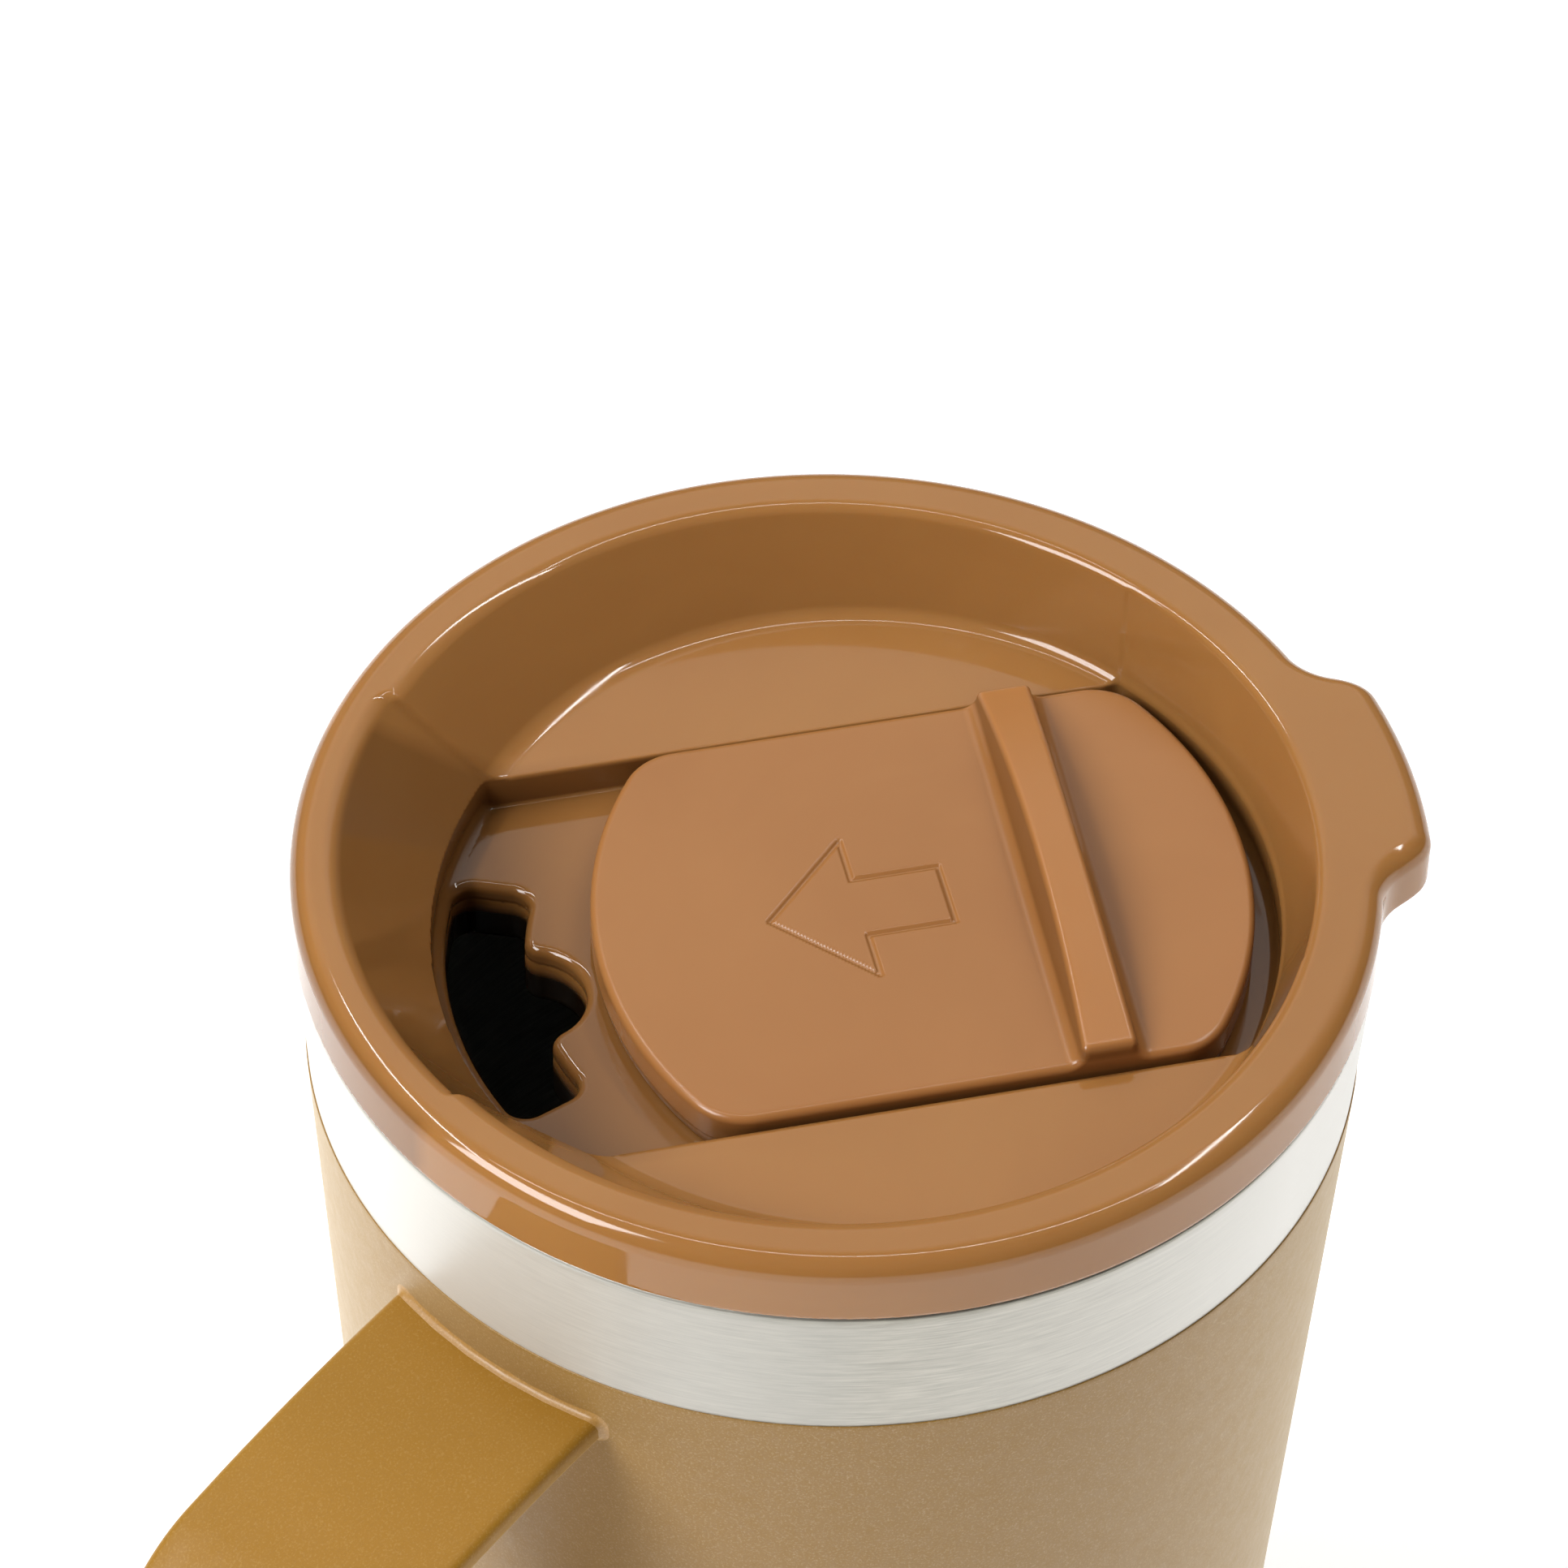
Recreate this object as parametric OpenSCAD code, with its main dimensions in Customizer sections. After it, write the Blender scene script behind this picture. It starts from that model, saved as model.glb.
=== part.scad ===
// Insulated travel mug.
// A double-wall vacuum cup with a flat strip handle, a press-in lid and a
// magnetic slider that covers the drinking opening.
// Millimetres. +Z is up, the cup stands on z = 0, the handle points along +X.

/* [Cup] */
// Height of the steel cup up to the rim the lid sits on
cup_height = 145; // [135:1:165]
// Outside radius of the bare steel at the mouth
mouth_radius = 49.9; // [49.5:0.1:50.5]
// Loss of radius for each millimetre going down the wall
wall_taper = 0.0522; // [0.045:0.001:0.058]
// Thickness of the outer steel sheet
shell_thickness = 0.7; // [0.5:0.1:0.8]
// Thickness of the inner steel sheet
liner_thickness = 0.6; // [0.5:0.1:0.8]
// Width of the vacuum space between the two walls
vacuum_gap = 2.2; // [2:0.1:2.4]
// Height of the bare steel band under the lid
band_height = 15.95; // [12:0.05:20]
// Thickness of the powder coat
coat_thickness = 0.15; // [0.1:0.05:0.25]
// Radius of the rounded bottom corner of the steel
corner_radius = 5.85; // [5:0.05:7]

/* [Handle] */
// Width of the handle strip
handle_width = 24.2; // [18:0.1:28]
// Thickness of the handle strip
handle_thickness = 2.8; // [2.2:0.1:3.6]
// Distance from the rim down to the top of the upper arm
handle_drop = 21.4; // [20:0.1:30]
// Straight length of the grip
grip_length = 45; // [35:1:55]
// Outside radius of the upper bend
upper_bend = 14; // [12:0.5:18]
// Outside radius of the lower bend
lower_bend = 16; // [12:0.5:18]

/* [Lid] */
// Direction of the thumb tab, measured from the handle
tab_azimuth = 142.3; // [120:0.1:160]
// Height of the lid flange above the rim
flange_height = 7; // [6.5:0.1:8]
// Radius of the inner lip of the flange
lip_radius = 43.4; // [43:0.1:44]
// How far the thumb tab stands out beyond the flange
tab_reach = 4.7; // [4:0.1:6]
// Depth of the plug below the rim
plug_depth = 14.5; // [13.5:0.5:18]
// Outside radius of the plug
plug_radius = 45.6; // [45.4:0.1:45.8]

/* [Slider] */
// Half width of the track the slider runs in
track_half_width = 23.7; // [23.5:0.1:24]
// Half width of the slider
slider_half_width = 23.1; // [22.5:0.1:23.2]
// Distance the slider travels from open to closed
slider_travel = 14.6; // [14:0.1:14.8]
// Height of the thumb bar at its middle
bar_height = 4.6; // [3.5:0.1:5.5]
// Diameter of the holding magnets
magnet_diameter = 8; // [6:0.5:8]

/* [Hidden] */
$fn = 96;

// ---- helpers -------------------------------------------------------------

function polar(radius, angle) = radius * [cos(angle), sin(angle)];

// what rounding takes off a square corner at x, y; the sides give the way it points
module corner_waste(x, y, radius, side_x, side_y) {
    over = 0.5;
    difference() {
        translate([x - (side_x > 0 ? radius : over), y - (side_y > 0 ? radius : over)])
            square(radius + over);
        translate([x - side_x * radius, y - side_y * radius]) circle(radius, $fn = 24);
    }
}

// what rounding takes off a corner of any angle; the rounding circle
// touches the two sides at start and end
module tip_waste(centre, radius, start, corner, end) {
    clearance = 0.012;
    difference() {
        polygon([centre, centre + (start - centre) * 1.5, corner + (corner - centre) * 0.6,
                 centre + (end - centre) * 1.5]);
        translate(centre) circle(radius + clearance, $fn = 32);
    }
}

// solid through rings [radius, shift along X, height], bottom ring first
module loft(rings) {
    sides = 72;
    last = len(rings) - 1;
    polyhedron(
        points = [for (ring = rings) for (i = [0:sides - 1])
            [ring[1] + ring[0] * cos(i * 360 / sides), ring[0] * sin(i * 360 / sides), ring[2]]],
        faces = concat(
            [[for (i = [0:sides - 1]) i]],
            [[for (i = [sides - 1:-1:0]) i + sides * last]],
            [for (k = [0:last - 1]) for (i = [0:sides - 1]) let (next = (i + 1) % sides)
                [k * sides + i, (k + 1) * sides + i,
                 (k + 1) * sides + next, k * sides + next]]));
}

// ---- cup -----------------------------------------------------------------

wall_cos = 1 / sqrt(1 + wall_taper * wall_taper);   // of the wall's lean from upright
wall_sin = wall_taper * wall_cos;

// radius at height z, a depth inside the bare steel surface
function wall_r(z, depth = 0) =
    mouth_radius - wall_taper * (cup_height - z) - depth / wall_cos;

base_z = 0.95;                         // underside of the steel shell
corner_z = base_z + corner_radius;     // centre of the rounded bottom corner
corner_x = wall_r(corner_z, corner_radius);
band_z = cup_height - band_height;     // top of the powder coat
coat_gap = 0.01;                       // between steel and coat
well_radius = 35.2;                    // hole in the bottom of the shell
well_cut_h = 4;

liner_gap = shell_thickness + vacuum_gap;
liner_depth = liner_gap + liner_thickness;   // drink surface, inside the bare steel
mouth_bore = 46.4;                     // radius of the straight bore that takes the lid
bore_z = cup_height - 20;              // bottom of the straight bore
bore_blend = 3;                        // height of the step from bore to tapered wall
floor_z = 10;                          // inside floor of the cup
floor_corner_r = 8;
rim_h = 0.8;                           // height of the ring joining liner and shell

foil_bottom = 22;
foil_top = bore_z - 6;
foil_t = 0.15;

// outline from the axis round a bottom corner centred at x, z to the tapered wall
function bottom_outline(x, z, radius) =
    [[0, z - radius], [x, z - radius], [x, z] + radius * [wall_cos, -wall_sin]];

// half section of the cup solid, a depth inside the bare steel surface
module cup_section(depth, top) {
    radius = corner_radius - depth;
    polygon(concat(bottom_outline(corner_x, corner_z, radius),
                   [[wall_r(top, depth), top], [0, top]]));
    translate([corner_x, corner_z]) circle(radius, $fn = 32);
}

module outer_shell() color([0.80, 0.80, 0.77]) rotate_extrude() difference() {
    cup_section(0, cup_height);
    cup_section(shell_thickness, cup_height + 1);
    square([well_radius, well_cut_h]);
    corner_waste(mouth_radius, cup_height, 0.6, 1, 1);
}

module powder_coat() color([0.72, 0.58, 0.40]) rotate_extrude() difference() {
    cup_section(-coat_thickness, band_z);
    cup_section(-coat_gap, band_z + 1);
    square([well_radius + 1, well_cut_h]);
}

// half section of the liner solid, grown outwards from the drink surface
module liner_section(grow, top) {
    z = floor_z + floor_corner_r;
    x = wall_r(z, liner_depth + floor_corner_r);
    radius = floor_corner_r + grow;
    blend_z = bore_z - bore_blend;
    union() {
        polygon(concat(bottom_outline(x, z, radius),
                       [[wall_r(blend_z, liner_depth - grow), blend_z],
                        [mouth_bore + grow, bore_z], [mouth_bore + grow, top], [0, top]]));
        translate([x, z]) circle(radius, $fn = 32);
    }
}

module inner_liner() color([0.78, 0.78, 0.76]) rotate_extrude() difference() {
    rim_z = cup_height - rim_h;
    union() {
        liner_section(liner_thickness, cup_height);
        polygon([[mouth_bore, rim_z], [wall_r(rim_z, shell_thickness), rim_z],
                 [wall_r(cup_height, shell_thickness), cup_height],
                 [mouth_bore, cup_height]]);
    }
    liner_section(0, cup_height + 1);
    corner_waste(mouth_bore, cup_height, 0.7, -1, 1);
}

module copper_foil() color([0.80, 0.47, 0.30]) rotate_extrude() {
    outer = liner_gap - foil_t;
    polygon([[wall_r(foil_bottom, liner_gap), foil_bottom],
             [wall_r(foil_bottom, outer), foil_bottom],
             [wall_r(foil_top, outer), foil_top],
             [wall_r(foil_top, liner_gap), foil_top]]);
}

// ---- base ----------------------------------------------------------------

plate_top = 5.7;          // top of the vacuum closing plate
plate_t = 0.7;
plate_lap = 0.3;          // overlap of the plate's flat parts with its upright ones
dimple_r = 5;             // raised middle of the plate
dimple_rise = 0.5;        // its underside, above the plate
vent_d = 1.6;             // hole in the raised middle
rib_r = 24;               // inside radius of the ring under the plate
bead_h = 1;

getter_place = [-18, 0, plate_top];
getter_r = 5.2;
getter_h = 1.2;
clip_r = 6.1;
clip_h = 1.5;
clip_window_r = 4.3;

foot_r = 34;
foot_h = 1.2;
cap_r = 34.5;
cap_t = 0.6;
cap_h = 3.2;              // height of the cap with its skirt

module vacuum_bottom() color([0.74, 0.74, 0.72]) difference() {
    rotate_extrude() union() {
        translate([well_radius - plate_t, base_z]) square([plate_t, plate_top - base_z]);
        translate([dimple_r, plate_top - plate_t])
            square([well_radius - dimple_r - plate_lap, plate_t]);
        translate([dimple_r, plate_top - plate_t]) square([plate_t, 2 * plate_t + dimple_rise]);
        translate([0, plate_top + dimple_rise]) square([dimple_r + plate_lap, plate_t]);
        translate([rib_r, plate_top - 1.3]) square([3, 0.9]);
    }
    translate([0, 0, plate_top]) cylinder(h = 3, d = vent_d, $fn = 32);
}

// plug just under the vent hole
module seal_bead() color([0.30, 0.36, 0.34]) {
    translate([0, 0, plate_top + dimple_rise - bead_h])
        cylinder(h = bead_h, r1 = 2.6, r2 = 3.2, $fn = 48);
}

module getter_pellet() color([0.35, 0.34, 0.33]) {
    translate(getter_place) cylinder(h = getter_h, r = getter_r, $fn = 48);
}

// ring round the pellet with a lip over its edge
module getter_clip() color([0.70, 0.70, 0.68]) translate(getter_place) difference() {
    cylinder(h = clip_h, r = clip_r, $fn = 48);
    translate([0, 0, -1]) cylinder(h = getter_h + 1, r = getter_r, $fn = 48);
    cylinder(h = 3, r = clip_window_r, $fn = 48);
}

module base_cap() color([0.66, 0.66, 0.64]) rotate_extrude() union() {
    translate([0, foot_h]) square([cap_r, cap_t]);
    translate([cap_r - cap_t, foot_h]) square([cap_t, cap_h]);
}

module foot_pad() color([0.30, 0.26, 0.22]) rotate_extrude() difference() {
    square([foot_r, foot_h]);
    corner_waste(foot_r, 0, 0.5, 1, -1);
}

// ---- handle --------------------------------------------------------------

// The outer face is followed clockwise in the XZ plane, from the cup along the
// upper arm, down the grip and back along the lower arm. Headings are in
// degrees from +X; every arc turns to the right.
arm_radius = 171;              // gentle curve of both arms
arm_start = [47, cup_height - handle_drop];
start_heading = -2;            // at arm_start
upper_heading = -12;           // from upper arm into upper bend
grip_heading = -94;
lower_heading = -170;          // from lower bend into lower arm
end_heading = -181.5;          // end of the lower arm, inside the cup
handle_clip_x = 36;            // the strip is cut off here, then by the cup wall

function left_of(heading) = [-sin(heading), cos(heading)];

upper_arm_centre = arm_start - arm_radius * left_of(start_heading);
upper_bend_centre = upper_arm_centre + (arm_radius - upper_bend) * left_of(upper_heading);
grip_top = upper_bend_centre + upper_bend * left_of(grip_heading);
grip_bottom = grip_top + polar(grip_length, grip_heading);
lower_bend_centre = grip_bottom - lower_bend * left_of(grip_heading);
lower_arm_centre = lower_bend_centre + (lower_bend - arm_radius) * left_of(lower_heading);

// points of a handle arc between two headings
function arc(centre, radius, from, to, steps) =
    [for (i = [0:steps]) centre + radius * left_of(from + (to - from) * i / steps)];

// outer face, then back along the inner face; arcs that follow another one
// start 2 or 3 degrees on, so that no point is repeated
module handle_profile() {
    inset = handle_thickness;
    polygon(concat(
        arc(upper_arm_centre, arm_radius, 0, upper_heading, 6),
        arc(upper_bend_centre, upper_bend, upper_heading - 2, grip_heading, 26),
        arc(lower_bend_centre, lower_bend, grip_heading, lower_heading, 26),
        arc(lower_arm_centre, arm_radius, lower_heading - 2, end_heading, 5),
        arc(lower_arm_centre, arm_radius - inset, end_heading, lower_heading, 6),
        arc(lower_bend_centre, lower_bend - inset, lower_heading + 3, grip_heading, 24),
        arc(upper_bend_centre, upper_bend - inset, grip_heading, upper_heading, 24),
        arc(upper_arm_centre, arm_radius - inset, upper_heading + 2, 0, 5)));
}

module handle_strip() color([0.66, 0.50, 0.27]) difference() {
    rotate([90, 0, 0]) linear_extrude(height = handle_width, center = true)
        intersection() {
            handle_profile();
            translate([handle_clip_x, 0]) square([80, cup_height]);
        }
    rotate_extrude() cup_section(-coat_thickness, cup_height - 4);
}

// weld bead sections [out from the wall, up from the arm face]
upper_bead = [[0, 0], [0.95, 0], [0.62, 0.28], [0.34, 0.62], [wall_taper, 1]];
lower_bead = [[0, 0], [-wall_taper, -1], [0.26, -0.62], [0.58, -0.28], [0.95, 0]];
weld_wall_gap = 0.012;
weld_arm_gap = 0.07;
weld_end_angle = 0.5;          // how far the bead stops short of the strip's edges

// height of an arm's outer face at x, side +1 above the arc centre, -1 below
function arm_face(centre, x, side) =
    centre[1] + side * sqrt(arm_radius * arm_radius - (x - centre[0]) * (x - centre[0]));

// bead in the corner between the wall and an arm face at height z
module weld(z, side, bead) {
    radius = wall_r(z) + coat_thickness + weld_wall_gap;
    half_angle = asin(handle_width / 2 / radius) - weld_end_angle;
    start = [radius, z + side * weld_arm_gap];
    rotate([0, 0, -half_angle]) rotate_extrude(angle = 2 * half_angle, $fn = 360)
        polygon([for (point = bead) start + point]);
}

module handle_welds() color([0.60, 0.46, 0.26]) {
    weld(arm_face(upper_arm_centre, 48, 1), 1, upper_bead);
    weld(arm_face(lower_arm_centre, 44, -1), -1, lower_bead);
}

// ---- lid -----------------------------------------------------------------

// Lid and slider heights are measured from the rim. In their frame the thumb
// tab points along +X and the drinking opening lies on the -X side.
track_z = -6.4;                // track floor
deck_z = -2.7;                 // deck beside the track
lid_base_z = -8.8;             // underside of the lid below the track
flange_r = mouth_radius + 0.1;
flange_round = 2.2;            // rounding of the top edge of flange and tab
tab_z = 0.5;                   // underside of the thumb tab
plug_bore = 42.2;              // radius of the hollow under the lid
track_wall = 2.2;              // between the track and the hollows beside it
cover_z = -13.5;               // underside of the lid base cover
cover_t = 2;
tube_t = 1.6;                  // wall of the tube round the opening
tube_top = -8;
groove_r = 44;                 // gasket groove
groove_z = -10;
groove_h = 4;
gasket_gap = 0.2;              // above and below the gasket
fin_root_r = 45.3;
fin_tip_r = 46.35;

// drinking opening: a slot along the wall with a round lobe for a straw
slot_inner_r = 28.7;
slot_outer_r = 36;
slot_half_angle = 18.3;
lobe_distance = 28.8;
lobe_r = 5.3;
cusp_r = 1.4;                  // rounding of the cusps between slot and lobe

slider_x = 8.3;                // middle of the slider when open
magnet_h = 2;
magnet_x = -6;                 // from the middle of the slider
magnet_y = 13;
lid_magnet_xs = [for (shift = [0, -slider_travel]) slider_x + magnet_x + shift];
lid_magnet_z = lid_base_z - magnet_h;

module lid_frame() {
    translate([0, 0, cup_height]) rotate([0, 0, tab_azimuth]) children();
}

// a pair of magnet-sized cylinders at each x, standing on z
module magnets(xs, z, extra_h = 0, extra_d = 0) {
    for (x = xs, y = [-1, 1]) translate([x, y * magnet_y, z])
        cylinder(h = magnet_h + extra_h, d = magnet_diameter + extra_d, $fn = 48);
}

// where a circle about the origin meets one centred at [-distance, 0]
function crossing(radius, other_radius, distance, side) =
    let (x = (radius * radius - other_radius * other_radius + distance * distance)
             / (2 * distance))
    [-x, side * sqrt(radius * radius - x * x)];

// plan of the drinking opening, grown all round
module opening(grow) {
    middle_r = (slot_inner_r + slot_outer_r) / 2;
    end_r = (slot_outer_r - slot_inner_r) / 2 + grow;
    inner_r = slot_inner_r - grow;
    lobe_edge = lobe_r + grow;
    lobe = [-lobe_distance, 0];
    intersection() {
        difference() {
            circle(slot_outer_r + grow);
            circle(inner_r);
        }
        polygon([[0, 0], polar(80, 180 + slot_half_angle), [-90, 0],
                 polar(80, 180 - slot_half_angle)]);
    }
    for (side = [-1, 1])
        translate(polar(middle_r, 180 - side * slot_half_angle)) circle(end_r, $fn = 48);
    translate(lobe) circle(lobe_edge, $fn = 48);
    for (side = [-1, 1]) {
        centre = crossing(inner_r - cusp_r, lobe_edge + cusp_r, lobe_distance, side);
        tip_waste(centre, cusp_r, centre * inner_r / (inner_r - cusp_r),
                  crossing(inner_r, lobe_edge, lobe_distance, side),
                  lobe + (centre - lobe) * lobe_edge / (lobe_edge + cusp_r));
    }
}

// plan of the thumb tab, with rounded corners and hollow fillets to the flange
module tab_plan() {
    outer_r = flange_r + tab_reach;
    round_r = 3.2;
    fillet_r = 3.5;
    round_d = outer_r - round_r;
    fillet_d = flange_r + fillet_r;
    round_a = asin(8.9 / round_d);
    fillet_a = round_a + acos((round_d * round_d + fillet_d * fillet_d
                               - (round_r + fillet_r) * (round_r + fillet_r))
                              / (2 * round_d * fillet_d));
    intersection() {
        circle(outer_r);
        polygon([[30, 0], polar(60, -round_a), [70, 0], polar(60, round_a)]);
    }
    for (side = [-1, 1]) {
        round_centre = polar(round_d, side * round_a);
        fillet_centre = polar(fillet_d, side * fillet_a);
        translate(round_centre) circle(round_r, $fn = 32);
        difference() {
            polygon([round_centre, fillet_centre, polar(flange_r - 2, side * fillet_a),
                     polar(flange_r - 2, side * round_a)]);
            translate(fillet_centre) circle(fillet_r, $fn = 32);
        }
    }
}

// loft rings of the rounded lip at the flange top, carried on above it
function lip_rings(radius, shift, over) = [
    [radius, shift, flange_height - 1.8],
    [radius + 0.35, shift, flange_height - 0.9],
    [radius + 1, shift, flange_height - 0.25],
    [radius + 1.7, shift, flange_height],
    [radius + 1.7, shift, flange_height + over]];

// flange and plug, hollow underneath
module lid_blank() difference() {
    rotate_extrude() difference() {
        union() {
            square([flange_r, flange_height]);
            translate([0, -plug_depth]) square([plug_radius, plug_depth + 1]);
        }
        corner_waste(flange_r, flange_height, flange_round, 1, 1);
        corner_waste(flange_r, 0, 0.4, 1, -1);
        corner_waste(plug_radius, -plug_depth, 0.8, 1, -1);
        translate([groove_r, groove_z]) square([4, groove_h]);
    }
    translate([0, 0, -plug_depth - 1])
        cylinder(h = plug_depth + 1 + lid_base_z, r = plug_bore);
    // deeper hollows under the deck on both sides of the track
    wall_y = track_half_width + track_wall;
    for (side = [-1, 1]) intersection() {
        translate([0, 0, lid_base_z - 0.1]) cylinder(h = 4, r = plug_bore);
        translate([-50, side > 0 ? wall_y : -50, -10]) cube([100, 50 - wall_y, 8]);
    }
}

module thumb_tab() intersection() {
    translate([0, 0, tab_z]) linear_extrude(height = flange_height - tab_z) tab_plan();
    rotate_extrude() difference() {
        square([flange_r + tab_reach, flange_height]);
        corner_waste(flange_r + tab_reach, flange_height, flange_round, 1, 1);
    }
}

// slider track and the relief it cuts into the wall, set over to the drinking side
module track_cut() intersection() {
    loft(concat([[39.6, 1.6, track_z]], lip_rings(lip_radius + 0.45, -0.65, 0.8)));
    // cross-section of the track, Y across and Z up
    rotate([90, 0, 90]) linear_extrude(height = 120, center = true)
        polygon([[-track_half_width, track_z - 1], [track_half_width, track_z - 1],
                 [track_half_width, deck_z], [27.9, flange_height + 1.2],
                 [-21.3, flange_height + 1.2], [-track_half_width, deck_z]]);
}

module lid_body() color([0.69, 0.51, 0.33]) lid_frame() difference() {
    union() {
        lid_blank();
        thumb_tab();
        // tube round the opening and rings round the magnets
        translate([0, 0, cover_z]) linear_extrude(height = tube_top - cover_z) opening(tube_t);
        magnets(lid_magnet_xs, lid_magnet_z + 0.4, extra_d = 2.4);
    }
    // round recess with a rounded lip
    loft(concat([[36.9, 2.6, deck_z], [38.9, 2.5, deck_z + 0.6], [40.4, 2.0, deck_z + 2.4]],
                lip_rings(lip_radius, 0, 1)));
    track_cut();
    translate([0, 0, cover_z - 1]) linear_extrude(height = 12) opening(0);
    magnets(lid_magnet_xs, lid_magnet_z);
}

module lid_base_cover() color([0.62, 0.46, 0.30]) lid_frame() difference() {
    translate([0, 0, cover_z]) cylinder(h = cover_t, r = plug_bore);
    translate([0, 0, cover_z - 1]) linear_extrude(height = cover_t + 2) opening(tube_t);
}

// band in the groove with two fins that reach outwards
module lid_gasket() color([0.55, 0.42, 0.28]) lid_frame() rotate_extrude() union() {
    translate([groove_r, groove_z + gasket_gap]) square([1.4, groove_h - 2 * gasket_gap]);
    for (z = [-6.9, -8.7])
        polygon([[fin_root_r, z], [fin_root_r, z - 1],
                 [fin_tip_r, z - 0.2], [fin_tip_r, z + 0.3]]);
}

module lid_magnets() color([0.60, 0.61, 0.63]) lid_frame()
    magnets(lid_magnet_xs, lid_magnet_z);

// ---- slider --------------------------------------------------------------

slider_z = track_z + 0.05;     // underside, with running clearance
split_z = slider_z + 1.3;      // joint between slider base and top
slider_top_z = -1.7;
end_radius = 37.5;             // end arcs of the slider
end_shift = 6.6;               // offset of the end arc centres along the track
end_skew = 1.65;               // and across it: the drinking end is fuller towards -Y
plan_corner_r = 6;
base_inset = 0.25;             // the base is this much narrower on each side
bar_x = 12.55;                 // thumb bar, from the middle of the slider
bar_turn = -1.7;               // its turn in plan, degrees
bar_half_chord = 22.6;
bar_end_height = 2;
bar_half_width = 2.85;         // at the foot
bar_lean = 0.17;               // inward lean of its sides for each millimetre up
bar_cut_h = 6;

// centre of an end arc; the arc about side +1 shapes the -X end, and the reverse
function end_centre(side) = side * [end_shift, -end_skew];

module slider_plan(half_width) {
    difference() {
        intersection() {
            translate(end_centre(1)) circle(end_radius);
            translate(end_centre(-1)) circle(end_radius);
            square([100, 2 * half_width], center = true);
        }
        for (side_x = [-1, 1], side_y = [-1, 1]) {
            end = end_centre(-side_x);
            edge_y = side_y * half_width;
            y = side_y * (half_width - plan_corner_r);
            inner_r = end_radius - plan_corner_r;
            centre = [end[0] + side_x * sqrt(inner_r * inner_r - (y - end[1]) * (y - end[1])), y];
            corner_x = end[0] + side_x * sqrt(end_radius * end_radius
                                              - (edge_y - end[1]) * (edge_y - end[1]));
            tip_waste(centre, plan_corner_r, [centre[0], edge_y],
                      [corner_x + side_x * 0.6, side_y * (half_width + 0.6)],
                      end + (centre - end) * end_radius / inner_r);
        }
    }
}

// arrow pointing at the drinking opening, grown all round
module arrow_mark(grow) {
    shaft = 3.2 + grow;
    head = 8 + 1.8 * grow;
    polygon([[-14 - 1.6 * grow, 0], [-6, head], [-6, shaft], [2 + grow, shaft],
             [2 + grow, -shaft], [-6, -shaft], [-6, -head]]);
}

module slider_frame() lid_frame() translate([slider_x, 0, 0]) children();

// disc of an end arc with its top edge rounded
module end_disc(side) translate(end_centre(side)) rotate_extrude() difference() {
    translate([0, split_z]) square([end_radius + 0.2, slider_top_z - split_z]);
    corner_waste(end_radius, slider_top_z, 0.9, 1, 1);
}

// thumb bar across the slider, arched along its length
module thumb_bar() {
    rise = bar_height - bar_end_height;
    arch_r = (bar_half_chord * bar_half_chord + rise * rise) / (2 * rise);
    half_length = slider_half_width - 0.2;
    top_half_width = bar_half_width - bar_lean * bar_cut_h;
    translate([bar_x, 0, slider_top_z]) rotate([0, 0, bar_turn]) intersection() {
        translate([-5, 0, bar_height - arch_r]) rotate([0, 90, 0])
            cylinder(h = 10, r = arch_r, $fn = 240);
        translate([0, half_length, 0]) rotate([90, 0, 0])
            linear_extrude(height = 2 * half_length)
                polygon([[-bar_half_width, -1], [bar_half_width, -1], [bar_half_width, 0],
                         [top_half_width, bar_cut_h], [-top_half_width, bar_cut_h],
                         [-bar_half_width, 0]]);
    }
}

module slider_top() color([0.68, 0.49, 0.34]) slider_frame() difference() {
    union() {
        intersection() {
            translate([0, 0, split_z]) linear_extrude(height = slider_top_z - split_z)
                slider_plan(slider_half_width);
            end_disc(1);
            end_disc(-1);
        }
        thumb_bar();
    }
    magnets([magnet_x], split_z - 1, extra_h = 1);
    // engraved outline of the arrow
    translate([0, 0, slider_top_z - 0.25]) linear_extrude(height = 1) difference() {
        arrow_mark(0.6);
        arrow_mark(0);
    }
}

module slider_base() color([0.60, 0.43, 0.30]) slider_frame() translate([0, 0, slider_z])
    linear_extrude(height = split_z - slider_z) slider_plan(slider_half_width - base_inset);

module slider_magnets() color([0.60, 0.61, 0.63]) slider_frame()
    magnets([magnet_x], split_z);

outer_shell();
powder_coat();
inner_liner();
copper_foil();
vacuum_bottom();
seal_bead();
getter_pellet();
getter_clip();
base_cap();
foot_pad();
handle_strip();
handle_welds();
lid_body();
lid_base_cover();
lid_gasket();
lid_magnets();
slider_top();
slider_base();
slider_magnets();
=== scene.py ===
"""Insulated steel mug with a strip handle and a lid with a slider.

The mug stands on z = 0 about the Z axis, with its handle towards +X. The lid has its own frame:
origin at the middle of the rim, +X towards the thumb tab, drinking opening on the -X side.
Meshes are worked out in millimetres; materials, lights and camera are in metres.
"""
import math

import bpy
import numpy as np
import openvdb
from mathutils import Matrix, Vector


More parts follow.
